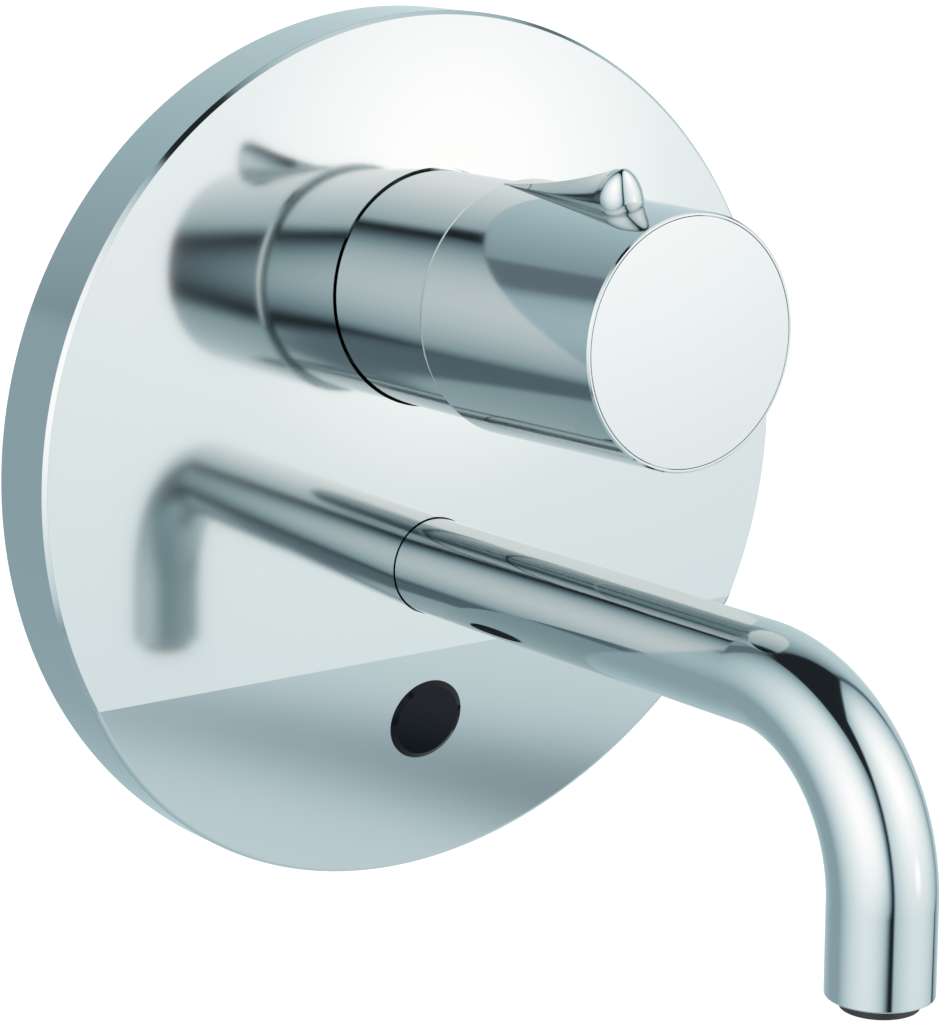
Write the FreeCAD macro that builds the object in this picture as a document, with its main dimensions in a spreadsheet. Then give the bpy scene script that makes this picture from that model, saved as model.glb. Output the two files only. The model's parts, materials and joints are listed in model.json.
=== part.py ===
import FreeCAD, Part
import math
import os
import types
import Sketcher

# Wall-mounted sensor basin tap. Millimetres. The origin is the centre of the cover plate on the
# wall plane, +X is right and +Z is up as seen from the front, and the front faces -Y.

doc = FreeCAD.newDocument("SensorBasinTap")
sheet = doc.addObject("Spreadsheet::Sheet", "Sizes")

SIZES = [
    ("plate_radius", 100.0, "cover plate, outside"),
    ("plate_depth", 19.0, "front face of the cover plate from the wall"),
    ("plate_wall", 2.5, "thickness of the front of the cover plate"),
    ("rim_wall", 2.0, "thickness of the rim of the cover plate"),
    ("plate_chamfer", 0.9, "narrow chamfer round the front face"),
    ("rim_gap", 0.3, "gap between the rim and the wall"),
    ("crease_drop", 45.5, "crease below the centre of the plate"),
    ("facet_angle", 11.4, "slope of the lower facet, degrees"),
    ("facet_round", 1.2, "rounding of the edge of the facet"),
    ("seal_width", 3.0, "rubber ring inside the rim"),
    ("seal_height", 1.8, "rubber ring, along Y"),
    ("carrier_clear", 7.0, "gap between the carrier plate and the rubber ring"),
    ("carrier_thickness", 2.0, "carrier plate"),
    ("window_width", 60.0, "opening of the carrier plate for the valve body"),
    ("window_top", 66.0, "opening of the carrier plate, above the centre"),
    ("window_drop", 42.0, "opening of the carrier plate, below the centre"),
    ("cable_hole_radius", 4.5, "hole of the carrier plate for the sensor lead"),
    ("wall_hole_inset", 13.0, "wall screws from the edge of the carrier plate"),
    ("wall_hole_radius", 2.75, "holes of the wall screws"),
    ("wall_screw_radius", 2.5, "shank of a wall screw"),
    ("wall_shoulder_radius", 2.65, "wall screw in the carrier plate"),
    ("wall_screw_length", 32.0, "shank of a wall screw"),
    ("wall_head_radius", 4.75, "head of a wall screw"),
    ("wall_head_height", 3.0, "head of a wall screw"),
    ("clip_width", 12.0, "spring clip of the cover plate"),
    ("clip_length", 13.0, "spring clip, along the radius"),
    ("clip_sheet", 1.2, "spring clip, sheet thickness"),
    ("clip_rise", 7.0, "upright leg of the spring clip"),
    ("handle_height", 38.5, "axis of the handle above the centre"),
    ("sleeve_radius", 26.5, "fixed collar of the handle"),
    ("sleeve_gap", 0.45, "gap round the collar in the plate"),
    ("sleeve_start", 10.0, "rear end of the collar from the wall"),
    ("sleeve_collar", 4.0, "length of the threaded part of the collar"),
    ("sleeve_bore", 23.6, "inside radius of the collar"),
    ("spigot_radius", 24.6, "part of the collar that enters the handle"),
    ("spigot_length", 5.3, "part of the collar that enters the handle"),
    ("sleeve_ring_height", 3.5, "rubber ring between neck and collar"),
    ("seam_reach", 53.0, "rear edge of the handle from the wall"),
    ("seam_gap", 0.3, "running gap between collar and handle"),
    ("seam_chamfer", 0.5, "chamfer of the rear edge of the handle"),
    ("handle_rear_radius", 27.9, "handle at its rear edge"),
    ("handle_front_radius", 26.8, "handle at its front edge"),
    ("handle_length", 57.0, "handle along its axis"),
    ("handle_bore", 25.0, "inside of the handle behind the web"),
    ("web_reach", 22.0, "rear face of the web from the rear edge"),
    ("web_thickness", 3.0, "web inside the handle"),
    ("front_bore", 24.0, "inside of the handle in front of the web"),
    ("cap_radius", 25.95, "round front face of the handle"),
    ("cap_thickness", 2.5, "round front face of the handle"),
    ("cap_gap", 0.05, "fit of the front face in the handle"),
    ("front_chamfer", 0.35, "chamfer of the front edge of the handle"),
    ("handle_turn", -12.6, "turn of the handle in the rest pose, degrees"),
    ("handle_travel", 50.0, "turn of the handle to each side, degrees"),
    ("tab_head_reach", 41.0, "centre of the tab's head from the rear edge"),
    ("tab_head_radius", 4.9, "head of the tab, seen from above"),
    ("tab_tail_reach", 0.7, "tip of the tab's tail from the rear edge"),
    ("tab_sweep_radius", 200.0, "long hollow of the tab's back"),
    ("tab_sweep_back", 14.5, "lowest point of the hollow behind the rear edge"),
    ("tab_sweep_level", 27.4, "lowest point of the hollow from the axis"),
    ("tab_crest_radius", 2.2, "crest of the tab"),
    ("tab_flank_angle", 57.0, "slope of the tab's flanks, degrees"),
    ("tab_top", 42.0, "blank of the tab from the axis"),
    ("tab_root", 23.0, "underside of the tab's blank from the axis"),
    ("stud_reach", 37.0, "stud of the tab from the rear edge"),
    ("stud_radius", 2.0, "stud of the tab"),
    ("stud_level", 24.4, "end of the stud from the axis"),
    ("fit_gap", 0.05, "running fit, on the radius"),
    ("loose_gap", 0.1, "loose fit, on the radius"),
    ("neck_radius", 22.0, "neck of the valve body"),
    ("neck_reach", 38.0, "front end of the neck from the wall"),
    ("neck_bore", 17.6, "cartridge bore of the neck"),
    ("neck_floor", 8.0, "floor of the cartridge bore behind the wall"),
    ("body_back", 44.0, "back of the valve body behind the wall"),
    ("block_width", 52.0, "block of the valve body"),
    ("block_drop", 38.0, "underside of the block below the centre"),
    ("ear_span", 90.0, "width over the ears of the valve body"),
    ("ear_height", 28.0, "height of the ears"),
    ("body_screw_span", 76.0, "distance between the rows of body screws"),
    ("body_screw_pitch", 17.0, "distance between the two screws of an ear"),
    ("body_screw_radius", 2.0, "shank of a body screw"),
    ("body_head_radius", 3.5, "head of a body screw"),
    ("body_head_height", 2.6, "head of a body screw"),
    ("cartridge_radius", 17.5, "casing of the cartridge"),
    ("cartridge_wall", 2.0, "wall of the casing"),
    ("cartridge_front", 4.0, "front wall of the casing"),
    ("cartridge_short", 2.0, "casing ends before the floor"),
    ("port_seal_height", 3.0, "rubber seal under the fixed disc"),
    ("fixed_height", 5.0, "fixed ceramic disc"),
    ("turning_height", 4.0, "turning ceramic disc"),
    ("turning_radius", 14.0, "turning ceramic disc"),
    ("chamber_radius", 5.5, "mixing chamber of the turning disc"),
    ("chamber_offset", 3.0, "mixing chamber, below the axis"),
    ("tongue_width", 4.0, "tongue that drives the turning disc"),
    ("tongue_span", 20.0, "tongue that drives the turning disc"),
    ("tongue_height", 1.5, "tongue that drives the turning disc"),
    ("drum_radius", 13.5, "drum of the spindle"),
    ("drum_length", 25.7, "drum of the spindle"),
    ("drum_gap", 0.3, "end play of the drum"),
    ("spindle_radius", 5.0, "shaft of the spindle"),
    ("spindle_reach", 70.0, "front end of the spindle from the wall"),
    ("port_radius", 3.5, "water ports of the discs"),
    ("port_spread", 9.0, "hot and cold ports from the axis"),
    ("port_lower", 9.5, "mixed water port below the axis"),
    ("ring_section", 1.5, "rubber rings of the cartridge"),
    ("ring_depth", 1.2, "depth of the ring grooves"),
    ("ring_first", 10.0, "first ring from the front of the casing"),
    ("ring_second", 20.0, "second ring from the front of the casing"),
    ("nut_radius", 21.5, "cartridge nut"),
    ("nut_flange", 4.0, "flange of the cartridge nut"),
    ("nut_hole", 12.0, "hole of the cartridge nut"),
    ("stop_radius", 20.0, "stop ring"),
    ("stop_height", 3.0, "stop ring"),
    ("peg_circle", 15.6, "peg of the hub from the axis"),
    ("peg_radius", 2.0, "peg of the hub"),
    ("peg_gap", 0.3, "play of the peg"),
    ("hub_gap", 1.3, "gap between stop ring and hub"),
    ("hub_flange_radius", 18.5, "rear flange of the hub"),
    ("hub_flange", 2.7, "rear flange of the hub"),
    ("hub_radius", 9.0, "hub"),
    ("hub_plate_radius", 24.0, "front plate of the hub"),
    ("hub_plate", 3.0, "front plate of the hub"),
    ("handle_screw_radius", 2.5, "screw of the handle"),
    ("handle_screw_length", 14.0, "screw of the handle under its head"),
    ("handle_head_radius", 4.5, "head of the handle screw"),
    ("handle_head_height", 4.0, "head of the handle screw"),
    ("spout_drop", 25.5, "axis of the spout below the centre"),
    ("spout_radius", 11.0, "spout tube, outside"),
    ("spout_wall", 1.6, "spout tube"),
    ("spout_gap", 0.25, "gap round the spout in the plate"),
    ("spout_projection", 170.5, "axis of the outlet from the wall"),
    ("bend_radius", 38.0, "bend of the spout on its axis"),
    ("outlet_drop", 82.5, "end of the spout below the centre"),
    ("nipple_flange_rear", 6.0, "front face of the spout boss from the wall"),
    ("nipple_flange", 3.0, "flange of the spout connector"),
    ("nipple_flange_radius", 12.5, "flange of the spout connector"),
    ("nipple_length", 36.0, "part of the connector in the spout"),
    ("nipple_thread", 16.0, "thread of the connector in the body"),
    ("nipple_thread_radius", 9.2, "thread of the connector in the body"),
    ("nipple_bore", 6.0, "bore of the connector"),
    ("boss_radius", 13.0, "spout boss of the body"),
    ("spout_ring_first", 24.0, "first ring from the flange of the connector"),
    ("spout_ring_second", 31.0, "second ring from the flange of the connector"),
    ("spout_ring_width", 1.6, "rubber rings of the connector"),
    ("spout_ring_depth", 1.3, "grooves of the connector"),
    ("grub_reach", 26.0, "grub screw from the wall"),
    ("grub_radius", 2.0, "grub screw"),
    ("grub_sink", 0.2, "grub screw below the tube's surface"),
    ("grub_bite", 1.8, "grub screw in the connector"),
    ("aerator_length", 12.5, "aerator housing in the tube"),
    ("aerator_lip_radius", 8.05, "dark ring at the outlet"),
    ("aerator_lip", 2.5, "dark ring below the end of the tube"),
    ("aerator_bore", 6.85, "bore of the aerator housing"),
    ("insert_height", 8.0, "jet plate and sieve"),
    ("insert_recess", 0.8, "jet plate above the lip's end"),
    ("insert_hole_radius", 0.8, "holes of the jet plate"),
    ("insert_hole_circle", 3.6, "holes of the jet plate"),
    ("aerator_ledge_bore", 5.2, "ledge over the jet plate"),
    ("aerator_washer_height", 1.5, "rubber washer over the aerator"),
    ("sensor_drop", 62.7, "centre of the sensor below the centre"),
    ("sensor_radius", 9.75, "sensor window"),
    ("sensor_rise", 0.8, "sensor window over the facet"),
    ("sensor_bevel", 0.5, "bevel of the window"),
    ("sensor_case_radius", 8.8, "casing behind the window"),
    ("sensor_case_length", 10.5, "casing behind the window"),
    ("sensor_case_bore", 7.6, "inside of the casing"),
    ("sensor_case_floor", 1.5, "floor of the casing"),
    ("sensor_ledge_bore", 6.6, "below the ledge of the casing"),
    ("sensor_ledge", 4.5, "height of the ledge over the casing's rear"),
    ("sensor_plug", 1.0, "part of the window in the casing"),
    ("sensor_board_height", 1.6, "board of the sensor"),
    ("diode_radius", 1.6, "emitter and receiver"),
    ("diode_height", 2.2, "emitter and receiver"),
    ("diode_spread", 3.2, "emitter and receiver from the centre"),
    ("sensor_ring_height", 1.0, "rubber ring behind the facet"),
    ("sensor_ring_radius", 11.5, "rubber ring behind the facet"),
    ("sensor_nut_height", 3.0, "ring nut of the sensor"),
    ("lead_radius", 1.5, "leads"),
    ("lead_length", 8.7, "lead of the sensor"),
    ("box_width", 70.0, "control box"),
    ("box_depth", 28.0, "control box without its lid"),
    ("box_inset", 1.0, "bottom of the control box from the edge of the carrier plate"),
    ("box_height", 38.0, "control box"),
    ("box_wall", 2.0, "wall of the control box"),
    ("lid_thickness", 2.0, "lid of the control box"),
    ("post_height", 1.5, "posts under the board"),
    ("post_radius", 2.5, "posts under the board"),
    ("board_thickness", 1.6, "control board"),
    ("board_gap", 0.5, "board inside the box"),
    ("relay_depth", 9.0, "parts on the control board"),
    ("relay_width", 22.0, "parts on the control board"),
    ("relay_height", 24.0, "parts on the control board"),
    ("battery_width", 35.0, "battery"),
    ("battery_depth", 19.5, "battery"),
    ("battery_gap", 0.1, "battery under the top of the box"),
    ("inlet_level", 5.0, "axis of the inlets above the centre"),
    ("inlet_depth", 27.0, "axis of the inlets behind the wall"),
    ("inlet_radius", 13.0, "inlet branches of the body"),
    ("inlet_reach", 54.0, "end of the inlet branches from the middle"),
    ("inlet_bore", 9.5, "bore of the inlet branches"),
    ("inlet_floor", 30.0, "floor of the inlet bore from the middle"),
    ("way_radius", 4.5, "water way of an inlet"),
    ("way_end", 6.0, "end of the water way from the middle"),
    ("riser_radius", 3.5, "risers to the cartridge"),
    ("mix_depth", 16.0, "way of the mixed water behind the wall"),
    ("mix_turn", 8.0, "turn of the mixed way below the centre"),
    ("mix_radius", 3.0, "way of the mixed water"),
    ("washer_height", 1.5, "washer of an inlet connector"),
    ("washer_radius", 12.5, "washer of an inlet connector"),
    ("connector_flange", 2.5, "flange of an inlet connector"),
    ("connector_thread", 8.0, "outer thread of an inlet connector"),
    ("connector_radius", 10.48, "outer thread of an inlet connector, G 1/2"),
    ("connector_bore", 7.0, "bore of an inlet connector"),
    ("connector_inner", 8.0, "part of the connector in the body"),
    ("strainer_height", 3.4, "sieve cup of an inlet"),
    ("strainer_rim", 1.0, "rim of the sieve cup"),
    ("strainer_wall", 0.6, "wall of the sieve cup"),
    ("strainer_radius", 6.0, "cup of the sieve"),
    ("cage_length", 12.0, "cage of a non-return valve"),
    ("cage_wall", 1.4, "cage of a non-return valve"),
    ("cage_end", 2.0, "end plates of the cage"),
    ("seat_radius", 4.5, "seat of the non-return valve"),
    ("poppet_radius", 6.0, "head of the poppet"),
    ("poppet_head", 2.0, "head of the poppet"),
    ("poppet_stem", 1.5, "stem of the poppet"),
    ("poppet_stem_length", 8.5, "stem of the poppet"),
    ("cage_vent_radius", 1.6, "water holes of the cage"),
    ("cage_vent_circle", 5.6, "water holes of the cage"),
    ("check_spring_radius", 3.6, "spring of the non-return valve"),
    ("check_spring_wall", 1.4, "spring of the non-return valve"),
    ("valve_depth", 30.0, "axis of the magnetic valve behind the wall"),
    ("valve_drop", 22.0, "axis of the magnetic valve below the centre"),
    ("valve_bore", 9.0, "chamber of the magnetic valve"),
    ("valve_seat_reach", 10.0, "seat of the magnetic valve from the middle"),
    ("valve_seat_radius", 3.0, "seat of the magnetic valve"),
    ("valve_feed_reach", 15.0, "feed of the magnetic valve from the middle"),
    ("outlet_way_radius", 5.0, "way to the spout"),
    ("outlet_way_depth", 34.0, "end of the way to the spout behind the wall"),
    ("plunger_radius", 5.0, "moving core"),
    ("plunger_length", 30.0, "moving core"),
    ("plunger_travel", 3.0, "stroke of the moving core"),
    ("guide_wall", 1.45, "tube that the core slides in"),
    ("guide_flange", 6.0, "flange of the tube in the chamber"),
    ("guide_end", 2.0, "closed end of the tube"),
    ("valve_spring_length", 15.0, "spring behind the core"),
    ("valve_spring_radius", 4.0, "spring behind the core"),
    ("valve_spring_wall", 1.4, "spring behind the core"),
    ("coil_width", 26.0, "coil casing"),
    ("coil_length", 31.0, "coil casing"),
    ("coil_gap", 1.0, "coil casing from the body"),
    ("lead_bend", 6.0, "bend of the coil's lead"),
    ("lead_drop", 21.0, "straight part of the coil's lead"),
    ("lead_depth", 22.0, "coil's lead behind the wall"),
]


class Size:
    """A length or an angle, both as a number and as an expression of the sheet."""

    def __init__(self, value, text):
        self.value = float(value)
        self.text = text

    def __add__(self, other):
        other = lift(other)
        return Size(self.value + other.value, "(" + self.text + " + " + other.text + ")")

    def __radd__(self, other):
        return lift(other) + self

    def __sub__(self, other):
        other = lift(other)
        return Size(self.value - other.value, "(" + self.text + " - " + other.text + ")")

    def __rsub__(self, other):
        return lift(other) - self

    def __mul__(self, other):
        other = lift(other)
        return Size(self.value * other.value, "(" + self.text + " * " + other.text + ")")

    def __rmul__(self, other):
        return lift(other) * self

    def __truediv__(self, other):
        other = lift(other)
        return Size(self.value / other.value, "(" + self.text + " / " + other.text + ")")

    def __neg__(self):
        return Size(-self.value, "(-1 * " + self.text + ")")


def lift(item):
    if isinstance(item, Size):
        return item
    return Size(item, str(float(item)))


def sine(angle):
    return Size(math.sin(math.radians(angle.value)), "sin(" + angle.text + " * 1 deg)")


def cosine(angle):
    return Size(math.cos(math.radians(angle.value)), "cos(" + angle.text + " * 1 deg)")


def tangent(angle):
    return Size(math.tan(math.radians(angle.value)), "tan(" + angle.text + " * 1 deg)")


def root(item):
    return Size(math.sqrt(item.value), "sqrt(" + item.text + ")")


s = types.SimpleNamespace()
for row, (alias, number, meaning) in enumerate(SIZES, start=1):
    sheet.set("A%d" % row, meaning)
    sheet.set("B%d" % row, str(number))
    sheet.setAlias("B%d" % row, alias)
    setattr(s, alias, Size(number, "Sizes." + alias))
doc.recompute()
s.carrier_radius = s.plate_radius - s.rim_wall - s.seal_width - s.carrier_clear
s.wall_hole_circle = (s.carrier_radius - s.wall_hole_inset) * 2
s.box_top = s.carrier_radius - s.box_inset - s.box_height

ZERO = lift(0)
FULL_TURN = 360.0
RIGHT_ANGLE = 90.0
CENTRE = (ZERO, ZERO, ZERO)
X_AXIS = FreeCAD.Vector(1, 0, 0)
Y_AXIS = FreeCAD.Vector(0, 1, 0)
Z_AXIS = FreeCAD.Vector(0, 0, 1)
WAYS = {
    "+x": FreeCAD.Rotation(Y_AXIS, 90),
    "-x": FreeCAD.Rotation(Y_AXIS, -90),
    "+y": FreeCAD.Rotation(X_AXIS, -90),
    "-y": FreeCAD.Rotation(X_AXIS, 90),
    "+z": FreeCAD.Rotation(),
    "-z": FreeCAD.Rotation(X_AXIS, 180),
}
CAGE_VENTS = 6
JET_HOLES = 8
CLIP_BEARINGS = (30.0, 150.0, 210.0, 330.0)
nodes = []


def bind(thing, name, item):
    item = lift(item)
    setattr(thing, name, item.value)
    thing.setExpression(name, item.text)


def place(thing, base, turn=None):
    """Place a piece: base is its point, turn a named way or a (axis, angle) pair."""
    angle = None
    if turn is None:
        rotation = FreeCAD.Rotation()
    elif isinstance(turn, str):
        rotation = WAYS[turn]
    elif isinstance(turn, tuple):
        angle = turn[1]
        rotation = FreeCAD.Rotation(turn[0], angle.value)
    else:
        rotation = turn
    spot = [lift(item) for item in base]
    thing.Placement = FreeCAD.Placement(FreeCAD.Vector(*[item.value for item in spot]), rotation)
    for axis, item in zip("xyz", spot):
        thing.setExpression(".Placement.Base." + axis, item.text)
    if angle is not None:
        thing.setExpression(".Placement.Rotation.Angle", angle.text)


def origin_plane(body, role):
    for item in body.Origin.OriginFeatures:
        if item.Role == role:
            return item
    raise ValueError(role)


def pin_point(sketch, index, end, spot):
    """Tie one end of a sketch line to its coordinates."""
    for kind, axis, item in (("DistanceX", -2, lift(spot[0])), ("DistanceY", -1, lift(spot[1]))):
        if abs(item.value) < 1e-9:
            sketch.addConstraint(Sketcher.Constraint("PointOnObject", index, end, axis))
        elif item.value > 0:
            count = sketch.addConstraint(Sketcher.Constraint(kind, -1, 1, index, end, item.value))
            sketch.setExpression("Constraints[%d]" % count, item.text)
        else:
            item = -item
            count = sketch.addConstraint(Sketcher.Constraint(kind, index, end, -1, 1, item.value))
            sketch.setExpression("Constraints[%d]" % count, item.text)


def draw(sketch, outline):
    """Draw a closed outline of straight lines through points given as pairs of sizes."""
    spots = [FreeCAD.Vector(lift(x).value, lift(y).value, 0) for x, y in outline]
    count = len(spots)
    for index in range(count):
        sketch.addGeometry(Part.LineSegment(spots[index], spots[(index + 1) % count]), False)
    for index in range(count):
        sketch.addConstraint(Sketcher.Constraint("Coincident", index, 2, (index + 1) % count, 1))
    for index in range(count):
        pin_point(sketch, index, 1, outline[index])


def new_sketch(body, name, role):
    sketch = body.newObject("Sketcher::SketchObject", name)
    sketch.AttachmentSupport = [(origin_plane(body, role), "")]
    sketch.MapMode = "FlatFace"
    return sketch


def turned(label, base, way, outline):
    """A turned piece. The outline gives (radius, height along the way) pairs."""
    body = doc.addObject("PartDesign::Body", label)
    sketch = new_sketch(body, label + "_outline", "XZ_Plane")
    draw(sketch, outline)
    feature = body.newObject("PartDesign::Revolution", label + "_turned")
    feature.Profile = sketch
    feature.ReferenceAxis = (sketch, ["V_Axis"])
    feature.Angle = FULL_TURN
    body.Tip = feature
    place(body, base, way)
    return body


def spool(label, base, way, outer, inner=None):
    """A turned piece in steps: outer and inner list (radius, height that it reaches)."""
    top = outer[-1][1]
    inner = inner or [(ZERO, top)]
    outline = [(inner[0][0], ZERO)]
    outline.append((outer[0][0], ZERO))
    for index, (radius, height) in enumerate(outer):
        outline.append((radius, height))
        if index + 1 < len(outer):
            outline.append((outer[index + 1][0], height))
    outline.append((inner[-1][0], top))
    for index in range(len(inner) - 1, 0, -1):
        outline.append((inner[index][0], inner[index - 1][1]))
        outline.append((inner[index - 1][0], inner[index - 1][1]))
    return turned(label, base, way, outline)


def cylinder(name, base, way, radius, length):
    thing = doc.addObject("Part::Cylinder", name)
    bind(thing, "Radius", radius)
    bind(thing, "Height", length)
    place(thing, base, way)
    return thing


def block(name, base, spans, turn=None):
    thing = doc.addObject("Part::Box", name)
    for field, item in zip(("Length", "Width", "Height"), spans):
        bind(thing, field, item)
    place(thing, base, turn)
    return thing


def quarter_bend(name, centre, turn, bend, radius):
    thing = doc.addObject("Part::Torus", name)
    bind(thing, "Radius1", bend)
    bind(thing, "Radius2", radius)
    thing.Angle3 = RIGHT_ANGLE
    place(thing, centre, turn)
    return thing


def fuse(name, pieces):
    if len(pieces) == 1:
        return pieces[0]
    thing = doc.addObject("Part::MultiFuse", name)
    thing.Shapes = pieces
    thing.Refine = True
    return thing


def cut(name, stock, tools):
    thing = doc.addObject("Part::Cut", name)
    thing.Base = stock
    thing.Tool = fuse(name + "_tools", tools)
    return thing


def group(name, pieces):
    thing = doc.addObject("Part::Compound", name)
    thing.Links = pieces
    return thing


def node(thing, label):
    thing.Label = label
    nodes.append((label, thing))
    return thing


# Cover plate: a dished round shell whose lower segment is a facet that slopes back to the wall.
rim_length = s.plate_depth - s.rim_gap
face_radius = s.plate_radius - s.plate_chamfer
plate_disc = turned("plate_disc", (0, -s.rim_gap, 0), "-y", [
    (ZERO, ZERO),
    (s.plate_radius, ZERO),
    (s.plate_radius, rim_length - s.plate_chamfer),
    (face_radius, rim_length),
    (ZERO, rim_length),
])
facet_turn = (X_AXIS, s.facet_angle + 180)
facet_width = s.plate_radius * 2 + s.plate_depth
facet_cutter = block("facet_cutter", (-facet_width / 2, -s.plate_depth, -s.crease_drop),
                     (facet_width, s.plate_depth * 2, s.plate_radius), facet_turn)
plate_outside = cut("plate_outside", plate_disc, [facet_cutter])
rim_inside = s.plate_radius - s.rim_wall
cavity_depth = s.plate_depth - s.plate_wall
cavity_disc = cylinder("cavity_disc", CENTRE, "-y", rim_inside, cavity_depth)
inner_crease = s.crease_drop - s.plate_wall * tangent(s.facet_angle / 2)
cavity_cutter = block("cavity_cutter", (-facet_width / 2, -cavity_depth, -inner_crease),
                      (facet_width, s.plate_depth * 2, s.plate_radius), facet_turn)
plate_cavity = cut("plate_cavity", cavity_disc, [cavity_cutter])
sensor_turn = (X_AXIS, s.facet_angle + 90)
sensor_out = s.plate_depth - (s.sensor_drop - s.crease_drop) * tangent(s.facet_angle)


def sensor_spot(height):
    """A point on the sensor's axis, height over the facet."""
    height = lift(height)
    return (ZERO, -sensor_out - height * cosine(s.facet_angle),
            -s.sensor_drop - height * sine(s.facet_angle))


plate_shell = cut("plate_shell", plate_outside, [
    plate_cavity,
    cylinder("sleeve_hole", (0, 0, s.handle_height), "-y", s.sleeve_radius + s.sleeve_gap, s.plate_depth * 2),
    cylinder("spout_hole", (0, 0, -s.spout_drop), "-y", s.spout_radius + s.spout_gap, s.plate_depth * 2),
    cylinder("sensor_hole", sensor_spot(-s.plate_wall * 2), sensor_turn,
             s.sensor_case_radius + s.loose_gap, s.plate_wall * 4),
])
doc.recompute()


def facet_edges(shape):
    """Edges where the facet meets the outside of the rim."""
    lean = math.radians(s.facet_angle.value)
    found = []
    for count, edge in enumerate(shape.Edges, start=1):
        middle = edge.valueAt((edge.FirstParameter + edge.LastParameter) / 2)
        depth = (-(middle.y + s.plate_depth.value) * math.cos(lean)
                 - (middle.z + s.crease_drop.value) * math.sin(lean))
        far = math.hypot(middle.x, middle.z)
        if abs(depth) < 0.01 and abs(far - s.plate_radius.value) < 0.01:
            found.append(count)
    return found


cover_plate = doc.addObject("Part::Fillet", "cover_plate_rounded")
cover_plate.Base = plate_shell
cover_plate.Edges = [(count, s.facet_round.value, s.facet_round.value)
                     for count in facet_edges(plate_shell.Shape)]
node(cover_plate, "cover_plate")

node(spool("plate_seal_body", CENTRE, "-y", [(rim_inside, s.seal_height)],
           [(rim_inside - s.seal_width, s.seal_height)]), "plate_seal")

# Carrier plate with its screws and spring clips.
window_height = s.window_top + s.window_drop
lead_exit = sensor_spot(-s.sensor_case_length)
half_circle = s.wall_hole_circle / 2
diagonal = lift(math.sqrt(0.5))
wall_spots = [(half_circle * diagonal * side, half_circle * diagonal * level)
              for side in (-1, 1) for level in (-1, 1)]
ear_spots = [(s.body_screw_span / 2 * side, s.inlet_level + s.body_screw_pitch / 2 * level)
             for side in (-1, 1) for level in (-1, 1)]
screw_clear = s.body_screw_radius + s.loose_gap * 2
carrier_tools = [
    block("carrier_window", (-s.window_width / 2, -s.carrier_thickness * 2, -s.window_drop),
          (s.window_width, s.carrier_thickness * 4, window_height)),
    cylinder("carrier_lead_hole", (0, s.carrier_thickness, lead_exit[2]), "-y",
             s.cable_hole_radius, s.carrier_thickness * 4),
]
for count, (side, level) in enumerate(wall_spots):
    carrier_tools.append(cylinder("wall_hole_%d" % count, (side, s.carrier_thickness, level), "-y",
                                  s.wall_hole_radius, s.carrier_thickness * 4))
for count, (side, level) in enumerate(ear_spots):
    carrier_tools.append(cylinder("ear_hole_%d" % count, (side, s.carrier_thickness, level), "-y",
                                  screw_clear, s.carrier_thickness * 4))
carrier_disc = cylinder("carrier_disc", CENTRE, "-y", s.carrier_radius, s.carrier_thickness)
node(cut("carrier_plate_cut", carrier_disc, carrier_tools), "carrier_plate")

wall_screws = []
for count, (side, level) in enumerate(wall_spots):
    shank_rear = s.wall_screw_length - s.carrier_thickness
    wall_screws.append(spool("wall_screw_%d" % count, (side, shank_rear, level), "-y", [
        (s.wall_screw_radius, shank_rear),
        (s.wall_shoulder_radius, s.wall_screw_length),
        (s.wall_head_radius, s.wall_screw_length + s.wall_head_height),
    ]))
node(group("wall_screw_set", wall_screws), "wall_screws")

clip_half = s.clip_width / 2
clip_end = root(rim_inside * rim_inside - clip_half * clip_half)
clips = []
for count, bearing in enumerate(CLIP_BEARINGS):
    foot = block("clip_foot_%d" % count,
                 (clip_end - s.clip_length, -s.carrier_thickness - s.clip_sheet, -clip_half),
                 (s.clip_length, s.clip_sheet, s.clip_width))
    leg = block("clip_leg_%d" % count,
                (clip_end - s.clip_sheet, -s.carrier_thickness - s.clip_rise, -clip_half),
                (s.clip_sheet, s.clip_rise, s.clip_width))
    clip = fuse("clip_%d" % count, [foot, leg])
    place(clip, CENTRE, FreeCAD.Rotation(Y_AXIS, bearing))
    clips.append(clip)
node(group("plate_clip_set", clips), "plate_clips")

# Stack of the mixing cartridge, as distances in front of the wall plane.
seal_out = -s.neck_floor
fixed_out = seal_out + s.port_seal_height
turning_out = fixed_out + s.fixed_height
drum_out = turning_out + s.turning_height
wall_out = drum_out + s.drum_length + s.drum_gap
casing_out = wall_out + s.cartridge_front
stop_out = s.neck_reach + s.nut_flange
hub_out = stop_out + s.stop_height + s.hub_gap
web_out = s.seam_reach + s.web_reach
axis_level = s.handle_height

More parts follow.
